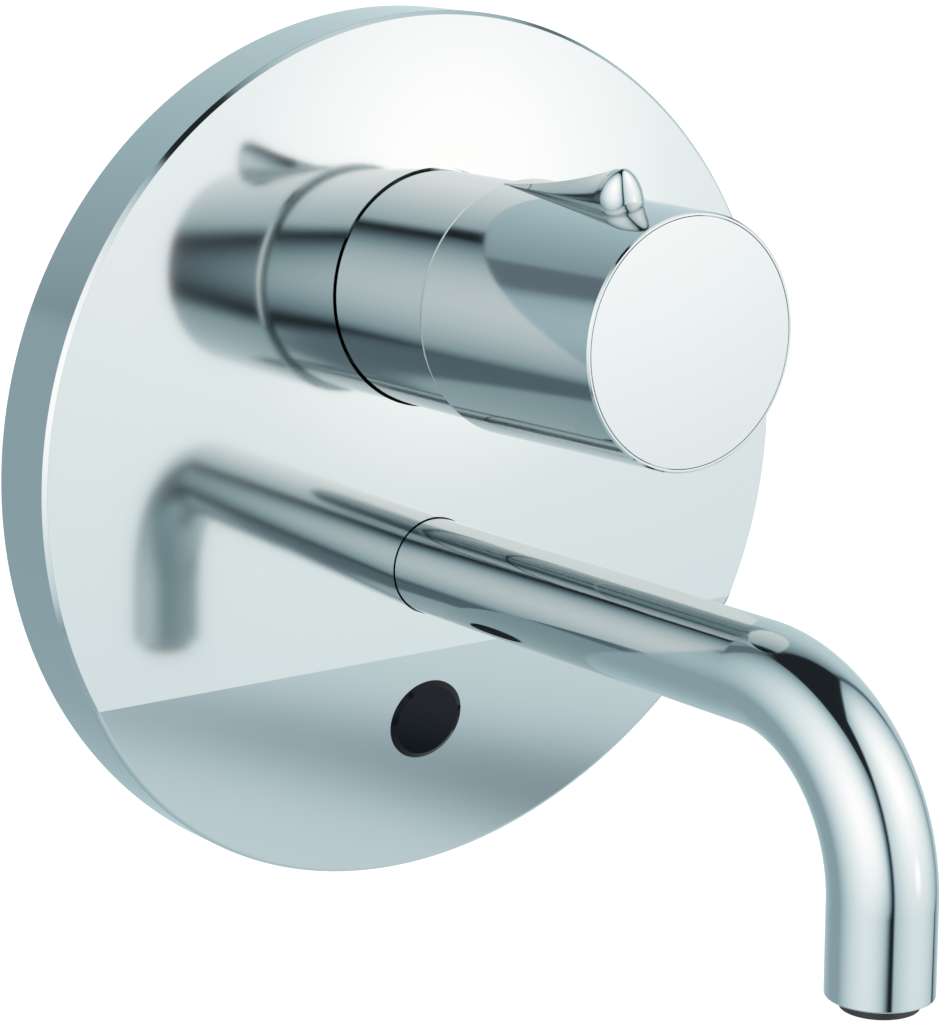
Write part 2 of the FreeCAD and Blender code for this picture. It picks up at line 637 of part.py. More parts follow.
# Valve body: neck, block, ears, spout boss and two inlet branches, with drilled water ways.
body_stock = [
    cylinder("body_neck", (0, s.body_back, axis_level), "-y", s.neck_radius, s.body_back + s.neck_reach),
    block("body_block", (-s.block_width / 2, s.neck_floor, -s.block_drop),
          (s.block_width, s.body_back - s.neck_floor, s.block_drop + axis_level)),
    block("body_ears", (-s.ear_span / 2, 0, s.inlet_level - s.ear_height / 2),
          (s.ear_span, s.inlet_depth - s.inlet_radius / 2, s.ear_height)),
    cylinder("body_boss", (0, s.neck_floor, -s.spout_drop), "-y", s.boss_radius,
             s.neck_floor + s.nipple_flange_rear),
    cylinder("body_branches", (-s.inlet_reach, s.inlet_depth, s.inlet_level), "+x",
             s.inlet_radius, s.inlet_reach * 2),
]
body_tools = [
    cylinder("way_cartridge", (0, s.neck_floor, axis_level), "-y", s.neck_bore, s.neck_floor + s.neck_reach),
    cylinder("way_mixed_port", (0, s.mix_depth, axis_level - s.port_lower), "-y",
             s.mix_radius, s.mix_depth - s.neck_floor),
    cylinder("way_mixed_down", (0, s.mix_depth, axis_level - s.port_lower), "-z",
             s.mix_radius, axis_level - s.port_lower + s.mix_turn),
    cylinder("way_mixed_side", (0, s.mix_depth, -s.mix_turn), "+x", s.mix_radius, s.valve_feed_reach),
    cylinder("way_mixed_feed", (s.valve_feed_reach, s.mix_depth, -s.mix_turn), "-z",
             s.mix_radius, s.valve_drop - s.mix_turn),
    cylinder("way_chamber_feed", (s.valve_feed_reach, s.mix_depth, -s.valve_drop), "+y",
             s.mix_radius, s.valve_depth - s.mix_depth),
    cylinder("way_chamber", (s.valve_seat_reach, s.valve_depth, -s.valve_drop), "+x",
             s.valve_bore, s.block_width / 2 - s.valve_seat_reach),
    cylinder("way_seat", (0, s.valve_depth, -s.valve_drop), "+x", s.valve_seat_radius, s.valve_seat_reach),
    cylinder("way_outlet", (0, s.outlet_way_depth, -s.spout_drop), "-y", s.outlet_way_radius,
             s.outlet_way_depth + s.nipple_flange_rear),
    cylinder("way_nipple", (0, s.nipple_thread - s.nipple_flange_rear, -s.spout_drop), "-y",
             s.nipple_thread_radius + s.fit_gap, s.nipple_thread),
]
for count, side in enumerate((-1, 1)):
    way = "+x" if side > 0 else "-x"
    name = "hot" if side < 0 else "cold"
    body_tools.append(cylinder("way_inlet_" + name, (s.way_end * side, s.inlet_depth, s.inlet_level), way,
                               s.way_radius, s.inlet_floor - s.way_end))
    body_tools.append(cylinder("way_branch_" + name, (s.inlet_floor * side, s.inlet_depth, s.inlet_level), way,
                               s.inlet_bore, s.inlet_reach - s.inlet_floor))
    body_tools.append(cylinder("way_riser_" + name, (s.port_spread * side, s.inlet_depth, s.inlet_level), "+z",
                               s.riser_radius, axis_level - s.inlet_level))
    body_tools.append(cylinder("way_port_" + name, (s.port_spread * side, s.inlet_depth, axis_level), "-y",
                               s.riser_radius, s.inlet_depth - s.neck_floor))
for count, (side, level) in enumerate(ear_spots):
    body_tools.append(cylinder("ear_thread_%d" % count, (side, 0, level), "+y",
                               s.body_screw_radius + s.fit_gap, s.neck_floor))
node(cut("valve_body_cut", fuse("valve_body_stock", body_stock), body_tools), "valve_body")

body_screws = []
for count, (side, level) in enumerate(ear_spots):
    shank = s.neck_floor + s.carrier_thickness
    body_screws.append(spool("body_screw_%d" % count, (side, s.neck_floor, level), "-y", [
        (s.body_screw_radius, shank),
        (s.body_head_radius, shank + s.body_head_height),
    ]))
node(group("body_screw_set", body_screws), "body_screws")

# Inlets, each with a connector, a washer, a sieve cup and a non-return valve.
seat_at = s.inlet_floor + s.cage_length - s.cage_end
washers = []
strainers = []
for name, side in (("hot", -1), ("cold", 1)):
    way = "+x" if side > 0 else "-x"
    inward = "-x" if side > 0 else "+x"

    def inlet_spot(reach):
        return (reach * side, s.inlet_depth, s.inlet_level)

    inner_end = s.inlet_reach - s.connector_inner
    flange_at = s.connector_inner + s.washer_height
    thread_at = flange_at + s.connector_flange
    length = thread_at + s.connector_thread
    node(spool(name + "_connector", inlet_spot(inner_end), way, [
        (s.inlet_bore - s.loose_gap, flange_at),
        (s.washer_radius, thread_at),
        (s.connector_radius, length),
    ], [(s.connector_bore, length)]), name + "_nipple")
    washers.append(spool("washer_" + name, inlet_spot(s.inlet_reach), way,
                         [(s.washer_radius, s.washer_height)], [(s.inlet_bore, s.washer_height)]))
    cup_base = s.strainer_height - s.strainer_wall
    rim_base = s.strainer_height - s.strainer_rim
    strainers.append(turned("strainer_" + name, inlet_spot(inner_end - s.strainer_height), way, [
        (ZERO, ZERO),
        (s.strainer_radius, ZERO),
        (s.strainer_radius, rim_base),
        (s.inlet_bore - s.loose_gap, rim_base),
        (s.inlet_bore - s.loose_gap, s.strainer_height),
        (s.strainer_radius - s.strainer_wall, s.strainer_height),
        (s.strainer_radius - s.strainer_wall, s.strainer_height - cup_base),
        (ZERO, s.strainer_height - cup_base),
    ]))
    cage_inside = s.inlet_bore - s.loose_gap - s.cage_wall
    cage_stock = spool(name + "_cage_stock", inlet_spot(s.inlet_floor), way,
                       [(s.inlet_bore - s.loose_gap, s.cage_length)],
                       [(s.poppet_stem + s.fit_gap, s.cage_end),
                        (cage_inside, s.cage_length - s.cage_end),
                        (s.seat_radius, s.cage_length)])
    vents = []
    for turn in range(CAGE_VENTS):
        bearing = lift(turn * FULL_TURN / CAGE_VENTS)
        vents.append(cylinder("%s_vent_%d" % (name, turn),
                              (s.inlet_floor * side,
                               s.inlet_depth + s.cage_vent_circle * cosine(bearing),
                               s.inlet_level + s.cage_vent_circle * sine(bearing)),
                              way, s.cage_vent_radius, s.cage_end))
    node(cut(name + "_cage_cut", cage_stock, vents), name + "_check_cage")
    head_base = s.poppet_stem_length
    node(spool(name + "_poppet_body", inlet_spot(seat_at - s.poppet_head - s.poppet_stem_length), way, [
        (s.poppet_stem, head_base),
        (s.poppet_radius, head_base + s.poppet_head),
    ]), name + "_check_poppet")
    spring_length = s.cage_length - s.cage_end * 2 - s.poppet_head
    node(spool(name + "_spring_body", inlet_spot(s.inlet_floor + s.cage_end), way,
               [(s.check_spring_radius, spring_length)],
               [(s.check_spring_radius - s.check_spring_wall, spring_length)]), name + "_check_spring")
node(group("washer_set", washers), "inlet_washers")
node(group("strainer_set", strainers), "inlet_strainers")

# Mixing cartridge, with its front towards the handle.
casing_rear = s.cartridge_short - s.neck_floor
casing_length = casing_out - casing_rear
casing_bore = s.cartridge_radius - s.cartridge_wall
groove_radius = s.cartridge_radius - s.ring_depth
first_groove = casing_length - s.ring_first
second_groove = casing_length - s.ring_second
front_groove = casing_length - s.cartridge_front / 2
node(spool("cartridge_casing", (0, -casing_rear, axis_level), "-y", [
    (s.cartridge_radius, second_groove),
    (groove_radius, second_groove + s.ring_section),
    (s.cartridge_radius, first_groove),
    (groove_radius, first_groove + s.ring_section),
    (s.cartridge_radius, casing_length),
], [
    (casing_bore, casing_length - s.cartridge_front),
    (s.spindle_radius + s.fit_gap, front_groove - s.ring_section / 2),
    (s.spindle_radius + s.ring_depth, front_groove + s.ring_section / 2),
    (s.spindle_radius + s.fit_gap, casing_length),
]), "cartridge_housing")
rings = []
for count, start in enumerate((second_groove, first_groove)):
    rings.append(spool("casing_ring_%d" % count, (0, -casing_rear - start, axis_level), "-y",
                       [(s.neck_bore, s.ring_section)], [(groove_radius, s.ring_section)]))
rings.append(spool("spindle_ring", (0, -casing_rear - front_groove + s.ring_section / 2, axis_level), "-y",
                   [(s.spindle_radius + s.ring_depth, s.ring_section)],
                   [(s.spindle_radius + s.fit_gap, s.ring_section)]))
node(group("ring_set", rings), "cartridge_seals")

disc_radius = casing_bore - s.loose_gap
port_spots = [(-s.port_spread, ZERO), (s.port_spread, ZERO), (ZERO, -s.port_lower)]


def ported(label, rear, radius, height):
    stock = cylinder(label + "_stock", (0, -rear, axis_level), "-y", radius, height)
    holes = [cylinder("%s_port_%d" % (label, count), (side, -rear, axis_level + level), "-y",
                      s.port_radius, height)
             for count, (side, level) in enumerate(port_spots)]
    return node(cut(label + "_cut", stock, holes), label)


ported("disc_seal", seal_out, disc_radius, s.port_seal_height)
ported("fixed_disc", fixed_out, disc_radius, s.fixed_height)

# Pieces of the turning body are made upright and turned together with the handle.
rest_turn = (Y_AXIS, s.handle_turn)


def turn_with_handle(thing):
    place(thing, (0, 0, axis_level), rest_turn)
    return thing


turning_stock = cylinder("turning_stock", (0, -turning_out, 0), "-y", s.turning_radius, s.turning_height)
turning_disc = cut("turning_cut", turning_stock, [
    cylinder("turning_chamber", (0, -turning_out, -s.chamber_offset), "-y",
             s.chamber_radius, s.turning_height / 2),
    block("turning_slot",
          (-s.tongue_span / 2 - s.fit_gap, -drum_out, -s.tongue_width / 2 - s.fit_gap),
          (s.tongue_span + s.fit_gap * 2, s.tongue_height + s.fit_gap, s.tongue_width + s.fit_gap * 2)),
])
node(turn_with_handle(turning_disc), "turning_disc")

screw_end = web_out + s.web_thickness - s.handle_screw_length
spindle_bore = s.handle_screw_radius + s.fit_gap
spindle_stock = spool("spindle_stock", (0, -drum_out, 0), "-y", [
    (s.drum_radius, s.drum_length),
    (s.spindle_radius, s.spindle_reach - drum_out),
], [
    (ZERO, screw_end - s.web_thickness - drum_out),
    (spindle_bore, s.spindle_reach - drum_out),
])
tongue = block("spindle_tongue", (-s.tongue_span / 2, -drum_out, -s.tongue_width / 2),
               (s.tongue_span, s.tongue_height, s.tongue_width))
node(turn_with_handle(fuse("spindle_fused", [spindle_stock, tongue])), "cartridge_spindle")

nut_spigot = s.neck_reach - casing_out
node(spool("nut_body", (0, -casing_out, axis_level), "-y", [
    (s.neck_bore - s.loose_gap, nut_spigot),
    (s.nut_radius, nut_spigot + s.nut_flange),
], [(s.nut_hole, nut_spigot + s.nut_flange)]), "cartridge_nut")

# Stop ring: its slot lets the peg of the hub travel to both sides of upright.
slot_half = s.peg_radius + s.peg_gap
stop_stock = spool("stop_stock", (0, -stop_out, axis_level), "-y",
                   [(s.stop_radius, s.stop_height)], [(s.nut_hole, s.stop_height)])
slot_sector = cylinder("slot_sector", CENTRE, "+z", s.peg_circle + slot_half, s.stop_height)
bind(slot_sector, "Angle", s.handle_travel * 2)
slot_core = cylinder("slot_core", CENTRE, "+z", s.peg_circle - slot_half, s.stop_height)
slot_arc = cut("slot_arc", slot_sector, [slot_core])
upright = FreeCAD.Rotation(X_AXIS, 90)
place(slot_arc, (0, -stop_out, axis_level), upright)
slot_ends = [slot_arc]
for count, side in enumerate((-1, 1)):
    bearing = s.handle_travel * side
    slot_ends.append(cylinder("slot_end_%d" % count,
                              (s.peg_circle * sine(bearing), -stop_out,
                               axis_level + s.peg_circle * cosine(bearing)),
                              "-y", slot_half, s.stop_height))
lean_back = RIGHT_ANGLE - s.handle_travel.value
slot_arc.Placement = FreeCAD.Placement(
    slot_arc.Placement.Base,
    FreeCAD.Rotation(X_AXIS, 90) * FreeCAD.Rotation(Z_AXIS, lean_back))
node(cut("stop_cut", stop_stock, slot_ends), "stop_ring")

hub_length = web_out - hub_out
hub_stock = spool("hub_stock", (0, -hub_out, 0), "-y", [
    (s.hub_flange_radius, s.hub_flange),
    (s.hub_radius, hub_length - s.hub_plate),
    (s.hub_plate_radius, hub_length),
], [
    (s.spindle_radius + s.fit_gap, s.spindle_reach + s.peg_gap - hub_out),
    (s.handle_screw_radius + s.loose_gap, hub_length),
])
peg = cylinder("hub_peg", (0, -stop_out - s.peg_gap, s.peg_circle), "-y", s.peg_radius,
               s.stop_height + s.hub_gap)
node(turn_with_handle(fuse("hub_fused", [hub_stock, peg])), "handle_hub")

node(spool("handle_screw_body", (0, -screw_end, axis_level), "-y", [
    (s.handle_screw_radius, s.handle_screw_length),
    (s.handle_head_radius, s.handle_screw_length + s.handle_head_height),
]), "handle_screw")

# Handle: a slightly tapered shell with a web, closed by a round front face.
cap_seat = s.handle_length - s.cap_thickness
shell_stock = turned("handle_stock", (0, -s.seam_reach, 0), "-y", [
    (s.handle_bore, ZERO),
    (s.handle_rear_radius - s.seam_chamfer, ZERO),
    (s.handle_rear_radius, s.seam_chamfer),
    (s.handle_front_radius, s.handle_length - s.front_chamfer),
    (s.handle_front_radius - s.front_chamfer, s.handle_length),
    (s.cap_radius + s.cap_gap, s.handle_length),
    (s.cap_radius + s.cap_gap, cap_seat),
    (s.front_bore, cap_seat),
    (s.front_bore, s.web_reach + s.web_thickness),
    (s.handle_screw_radius + s.loose_gap, s.web_reach + s.web_thickness),
    (s.handle_screw_radius + s.loose_gap, s.web_reach),
    (s.handle_bore, s.web_reach),
])
stud_hole = cylinder("stud_hole", (0, -s.seam_reach - s.stud_reach, 0), "+z",
                     s.stud_radius + s.fit_gap, s.tab_top)
node(turn_with_handle(cut("handle_shell_cut", shell_stock, [stud_hole])), "handle_shell")
node(spool("handle_cap_body", (0, -s.seam_reach - cap_seat, axis_level), "-y",
           [(s.cap_radius, s.cap_thickness)]), "handle_cap")

# Grip tab: a teardrop with a hollow back that rises to the head, on a stud.
tab_blank = doc.addObject("PartDesign::Body", "tab_blank")
tab_plan = new_sketch(tab_blank, "tab_plan", "XY_Plane")
tab_plan.AttachmentOffset = FreeCAD.Placement(FreeCAD.Vector(0, 0, s.tab_root.value), FreeCAD.Rotation())
tab_plan.setExpression(".AttachmentOffset.Base.z", s.tab_root.text)
tab_reach = s.tab_head_reach - s.tab_tail_reach
half_tip = math.asin(s.tab_head_radius.value / tab_reach.value)
touch_x = s.tab_head_radius.value * math.cos(half_tip)
touch_y = s.tab_head_reach.value - s.tab_head_radius.value * math.sin(half_tip)
tail = FreeCAD.Vector(0, s.tab_tail_reach.value, 0)
head = FreeCAD.Vector(0, s.tab_head_reach.value, 0)
right_touch = FreeCAD.Vector(touch_x, touch_y, 0)
left_touch = FreeCAD.Vector(-touch_x, touch_y, 0)
head_circle = Part.Circle(head, Z_AXIS, s.tab_head_radius.value)
tab_plan.addGeometry(Part.ArcOfCircle(head_circle, -half_tip, math.pi + half_tip), False)
tab_plan.addGeometry(Part.LineSegment(left_touch, tail), False)
tab_plan.addGeometry(Part.LineSegment(tail, right_touch), False)
tab_plan.addConstraint(Sketcher.Constraint("Tangent", 0, 2, 1, 1))
tab_plan.addConstraint(Sketcher.Constraint("Coincident", 1, 2, 2, 1))
tab_plan.addConstraint(Sketcher.Constraint("Tangent", 2, 2, 0, 1))
tab_plan.addConstraint(Sketcher.Constraint("PointOnObject", 0, 3, -2))
tab_plan.addConstraint(Sketcher.Constraint("PointOnObject", 1, 2, -2))
for entry in ((Sketcher.Constraint("Radius", 0, s.tab_head_radius.value), s.tab_head_radius),
              (Sketcher.Constraint("DistanceY", -1, 1, 0, 3, s.tab_head_reach.value), s.tab_head_reach),
              (Sketcher.Constraint("DistanceY", -1, 1, 1, 2, s.tab_tail_reach.value), s.tab_tail_reach)):
    count = tab_plan.addConstraint(entry[0])
    tab_plan.setExpression("Constraints[%d]" % count, entry[1].text)
tab_pad = tab_blank.newObject("PartDesign::Pad", "tab_pad")
tab_pad.Profile = tab_plan
bind(tab_pad, "Length", s.tab_top - s.tab_root)
doc.recompute()
tab_section = new_sketch(tab_blank, "tab_section", "XZ_Plane")
sweep_level = s.tab_sweep_level + s.tab_sweep_radius
tab_section.AttachmentOffset = FreeCAD.Placement(
    FreeCAD.Vector(0, sweep_level.value, s.tab_sweep_back.value), FreeCAD.Rotation())
tab_section.setExpression(".AttachmentOffset.Base.y", sweep_level.text)
tab_section.setExpression(".AttachmentOffset.Base.z", s.tab_sweep_back.text)
crest_half = s.tab_crest_radius * sine(s.tab_flank_angle)
crest_fall = s.tab_crest_radius - s.tab_crest_radius * cosine(s.tab_flank_angle)
flank_half = s.tab_head_radius * 2
flank_fall = crest_fall + (flank_half - crest_half) * tangent(s.tab_flank_angle)
section_spots = [
    (-flank_half, ZERO),
    (-flank_half, -s.tab_sweep_radius - flank_fall),
    (-crest_half, -s.tab_sweep_radius - crest_fall),
    (crest_half, -s.tab_sweep_radius - crest_fall),
    (flank_half, -s.tab_sweep_radius - flank_fall),
    (flank_half, ZERO),
]
points = [FreeCAD.Vector(lift(x).value, lift(y).value, 0) for x, y in section_spots]
crest_top = FreeCAD.Vector(0, -s.tab_sweep_radius.value, 0)
tab_section.addGeometry(Part.LineSegment(points[0], points[1]), False)
tab_section.addGeometry(Part.LineSegment(points[1], points[2]), False)
tab_section.addGeometry(Part.LineSegment(points[3], points[4]), False)
tab_section.addGeometry(Part.LineSegment(points[4], points[5]), False)
tab_section.addGeometry(Part.LineSegment(points[5], points[0]), False)
crest_centre = FreeCAD.Vector(0, -s.tab_sweep_radius.value - s.tab_crest_radius.value, 0)
lean = math.radians(s.tab_flank_angle.value)
crest_circle = Part.Circle(crest_centre, Z_AXIS, s.tab_crest_radius.value)
tab_section.addGeometry(Part.ArcOfCircle(crest_circle, math.pi / 2 - lean, math.pi / 2 + lean), False)
for first, first_end, second, second_end in ((0, 2, 1, 1), (1, 2, 5, 2), (5, 1, 2, 1), (2, 2, 3, 1),
                                             (3, 2, 4, 1), (4, 2, 0, 1)):
    tab_section.addConstraint(Sketcher.Constraint("Coincident", first, first_end, second, second_end))
for line, end, spot in ((0, 1, 0), (0, 2, 1), (1, 2, 2), (2, 1, 3), (2, 2, 4), (3, 2, 5)):
    pin_point(tab_section, line, end, section_spots[spot])
count = tab_section.addConstraint(Sketcher.Constraint("Radius", 5, s.tab_crest_radius.value))
tab_section.setExpression("Constraints[%d]" % count, s.tab_crest_radius.text)
tab_groove = tab_blank.newObject("PartDesign::Groove", "tab_groove")
tab_groove.Profile = tab_section
tab_groove.ReferenceAxis = (tab_section, ["H_Axis"])
tab_groove.Angle = FULL_TURN
tab_blank.Tip = tab_groove
place(tab_blank, (0, -s.seam_reach, 0), FreeCAD.Rotation(Z_AXIS, 180))
handle_cone = doc.addObject("Part::Cone", "handle_cone")
bind(handle_cone, "Radius1", s.handle_rear_radius)
bind(handle_cone, "Radius2", s.handle_front_radius)
bind(handle_cone, "Height", s.handle_length - s.front_chamfer - s.seam_chamfer)
place(handle_cone, (0, -s.seam_reach - s.seam_chamfer, 0), "-y")
tab_top_part = cut("tab_top_part", tab_blank, [handle_cone])
tab_stud = cylinder("tab_stud", (0, -s.seam_reach - s.stud_reach, s.stud_level), "+z", s.stud_radius,
                    s.handle_front_radius - s.stud_level + s.stud_radius)
node(turn_with_handle(fuse("grip_tab_fused", [tab_top_part, tab_stud])), "grip_tab")

# Fixed collar of the handle and the ring that centres it on the neck.
sleeve_length = s.seam_reach - s.seam_gap - s.sleeve_start
node(spool("sleeve_body", (0, -s.sleeve_start, axis_level), "-y", [
    (s.sleeve_radius, sleeve_length),
    (s.spigot_radius, sleeve_length + s.spigot_length),
], [
    (s.neck_radius + s.fit_gap, s.sleeve_collar),
    (s.sleeve_bore, sleeve_length + s.spigot_length),
]), "handle_sleeve")
node(spool("sleeve_ring_body", (0, -s.sleeve_start - s.sleeve_collar, axis_level), "-y",
           [(s.sleeve_bore, s.sleeve_ring_height)], [(s.neck_radius, s.sleeve_ring_height)]), "sleeve_ring")

# Spout: a bent tube on a connector.
tube_start = s.nipple_flange_rear + s.nipple_flange
bend_start = s.spout_projection - s.bend_radius
bend_level = s.spout_drop + s.bend_radius
bend_turn = FreeCAD.Rotation(FreeCAD.Vector(0, 0, 1), FreeCAD.Vector(0, -1, 0), FreeCAD.Vector(1, 0, 0), "ZXY")


def bent_tube(name, radius):
    level = cylinder(name + "_level", (0, -tube_start, -s.spout_drop), "-y", radius, bend_start - tube_start)
    bend = quarter_bend(name + "_bend", (0, -bend_start, -bend_level), bend_turn, s.bend_radius, radius)
    fall = cylinder(name + "_fall", (0, -s.spout_projection, -bend_level), "-z", radius,
                    s.outlet_drop - bend_level)
    return fuse(name, [level, bend, fall])


spout_bore = s.spout_radius - s.spout_wall
grub_hole = cylinder("grub_hole", (0, -s.grub_reach, -s.spout_drop - s.spout_radius), "+z",
                     s.grub_radius + s.fit_gap, s.spout_radius / 2)
node(cut("spout_cut", bent_tube("spout_outer", s.spout_radius),
         [bent_tube("spout_inner", spout_bore), grub_hole]), "spout_tube")

nipple_rear = s.nipple_thread - s.nipple_flange_rear
nipple_radius = spout_bore - s.loose_gap
ring_floor = nipple_radius - s.spout_ring_depth
flange_end = s.nipple_thread + s.nipple_flange
first_ring = flange_end + s.spout_ring_first
second_ring = flange_end + s.spout_ring_second
nipple_stock = spool("nipple_stock", (0, nipple_rear, -s.spout_drop), "-y", [
    (s.nipple_thread_radius, s.nipple_thread),
    (s.nipple_flange_radius, flange_end),
    (nipple_radius, first_ring),
    (ring_floor, first_ring + s.spout_ring_width),
    (nipple_radius, second_ring),
    (ring_floor, second_ring + s.spout_ring_width),
    (nipple_radius, flange_end + s.nipple_length),
], [(s.nipple_bore, flange_end + s.nipple_length)])
dimple = cylinder("nipple_dimple", (0, -s.grub_reach, -s.spout_drop - s.spout_radius), "+z",
                  s.grub_radius + s.loose_gap, s.spout_radius - nipple_radius + s.grub_bite)
node(cut("nipple_cut", nipple_stock, [dimple]), "spout_nipple")
spout_rings = []
for count, start in enumerate((first_ring, second_ring)):
    spout_rings.append(spool("spout_ring_%d" % count, (0, nipple_rear - start, -s.spout_drop), "-y",
                             [(spout_bore, s.spout_ring_width)], [(ring_floor, s.spout_ring_width)]))
node(group("spout_ring_set", spout_rings), "spout_rings")
grub_length = s.spout_radius - nipple_radius + s.grub_bite - s.grub_sink
node(spool("grub_body", (0, -s.grub_reach, -s.spout_drop - s.spout_radius + s.grub_sink), "+z",
           [(s.grub_radius, grub_length)]), "spout_grub_screw")

# Aerator, from the lip upwards.
lip_level = s.outlet_drop + s.aerator_lip
aerator_total = s.aerator_lip + s.aerator_length
insert_end = s.insert_recess + s.insert_height
node(spool("aerator_body", (0, -s.spout_projection, -lip_level), "+z", [
    (s.aerator_lip_radius, s.aerator_lip),
    (spout_bore - s.fit_gap, aerator_total),
], [
    (s.aerator_bore, insert_end),
    (s.aerator_ledge_bore, aerator_total),
]), "aerator_housing")
insert_stock = cylinder("insert_stock", (0, -s.spout_projection, -lip_level + s.insert_recess), "+z",
                        s.aerator_bore - s.fit_gap, s.insert_height)
insert_holes = [cylinder("insert_hole_middle", (0, -s.spout_projection, -lip_level + s.insert_recess), "+z",
                         s.insert_hole_radius, s.insert_height)]
for count in range(JET_HOLES):
    bearing = lift(count * FULL_TURN / JET_HOLES)
    insert_holes.append(cylinder("insert_hole_%d" % count,
                                 (s.insert_hole_circle * cosine(bearing),
                                  s.insert_hole_circle * sine(bearing) - s.spout_projection,
                                  -lip_level + s.insert_recess), "+z",
                                 s.insert_hole_radius, s.insert_height))
node(cut("insert_cut", insert_stock, insert_holes), "aerator_insert")
node(spool("aerator_washer_body", (0, -s.spout_projection, aerator_total - lip_level), "+z",
           [(spout_bore - s.fit_gap, s.aerator_washer_height)],
           [(s.aerator_ledge_bore, s.aerator_washer_height)]), "aerator_washer")

# Sensor, built square to the facet.
node(turned("sensor_window_body", sensor_spot(-s.sensor_plug), sensor_turn, [
    (ZERO, ZERO),
    (s.sensor_case_bore - s.loose_gap, ZERO),
    (s.sensor_case_bore - s.loose_gap, s.sensor_plug),
    (s.sensor_radius, s.sensor_plug),
    (s.sensor_radius - s.sensor_bevel, s.sensor_plug + s.sensor_rise),
    (ZERO, s.sensor_plug + s.sensor_rise),
]), "sensor_window")
node(spool("sensor_case", sensor_spot(-s.sensor_case_length), sensor_turn,
           [(s.sensor_case_radius, s.sensor_case_length)], [
               (s.lead_radius + s.fit_gap, s.sensor_case_floor),
               (s.sensor_ledge_bore, s.sensor_ledge),
               (s.sensor_case_bore, s.sensor_case_length),
           ]), "sensor_housing")
board_height = s.sensor_ledge - s.sensor_case_length
board_disc = cylinder("sensor_board_disc", sensor_spot(board_height), sensor_turn,
                      s.sensor_case_bore - s.loose_gap, s.sensor_board_height)
diode_height = board_height + s.sensor_board_height
diode_foot = sensor_spot(diode_height)
diodes = [cylinder("diode_%d" % count, (s.diode_spread * side, diode_foot[1], diode_foot[2]), sensor_turn,
                   s.diode_radius, s.diode_height)
          for count, side in enumerate((-1, 1))]
node(fuse("sensor_board_fused", [board_disc] + diodes), "sensor_board")
ring_base = -s.plate_wall - s.sensor_ring_height
node(spool("sensor_ring_body", sensor_spot(ring_base), sensor_turn,
           [(s.sensor_ring_radius, s.sensor_ring_height)],
           [(s.sensor_case_radius, s.sensor_ring_height)]), "sensor_ring")
node(spool("sensor_nut_body", sensor_spot(ring_base - s.sensor_nut_height), sensor_turn,
           [(s.sensor_ring_radius, s.sensor_nut_height)],
           [(s.sensor_case_radius + s.fit_gap, s.sensor_nut_height)]), "sensor_nut")
lead_foot = -s.sensor_case_length + s.sensor_case_floor - s.lead_length
node(cylinder("sensor_lead", sensor_spot(lead_foot), sensor_turn, s.lead_radius, s.lead_length), "sensor_cable")

# Control box behind the carrier plate.
box_floor = s.box_top + s.box_height
box_stock = block("box_stock", (-s.box_width / 2, 0, -box_floor), (s.box_width, s.box_depth, s.box_height))
inner_width = s.box_width - s.box_wall * 2
inner_height = s.box_height - s.box_wall * 2
box_room = block("box_room", (-inner_width / 2, s.box_wall, s.box_wall - box_floor),
                 (inner_width, s.box_depth, inner_height))
lead_hole = cylinder("box_lead_hole", sensor_spot(lead_foot - s.box_wall), sensor_turn,
                     s.lead_radius + s.fit_gap, s.lead_length + s.box_wall)
coil_lead_level = s.valve_drop + s.coil_width / 2 + s.lead_drop + s.lead_bend
side_hole = cylinder("box_side_hole", (s.box_width / 2 - s.box_wall, s.lead_depth, -coil_lead_level), "+x",
                     s.lead_radius + s.fit_gap, s.box_wall)
box_shell = cut("box_shell", box_stock, [box_room, lead_hole, side_hole])
post_side = inner_width / 2 - s.post_radius * 2
post_level = inner_height / 2 - s.post_radius * 2
box_middle = -s.box_top - s.box_height / 2
posts = [cylinder("post_%d_%d" % (side + 1, level + 1),
                  (post_side * side, s.box_wall, box_middle + post_level * level), "+y",
                  s.post_radius, s.post_height)
         for side in (-1, 1) for level in (-1, 1)]
node(fuse("box_fused", [box_shell] + posts), "control_box")
node(block("lid_stock", (-s.box_width / 2, s.box_depth, -box_floor),
           (s.box_width, s.lid_thickness, s.box_height)), "control_lid")
board_front = s.box_wall + s.post_height
board_back = board_front + s.board_thickness
board_sheet = block("board_sheet",
                    (s.board_gap - inner_width / 2, board_front, s.board_gap + s.box_wall - box_floor),
                    (inner_width - s.board_gap * 2, s.board_thickness, inner_height - s.board_gap * 2))
relay_side = inner_width / 2 - s.relay_width - s.board_gap * 4
relay = block("board_relay", (relay_side, board_back, box_middle - s.relay_height / 2),
              (s.relay_width, s.relay_depth, s.relay_height))
node(fuse("board_fused", [board_sheet, relay]), "control_board")
node(block("battery_case", (-inner_width / 2, s.box_depth - s.battery_depth, s.box_wall - box_floor),
           (s.battery_width, s.battery_depth, inner_height - s.battery_gap)), "battery")

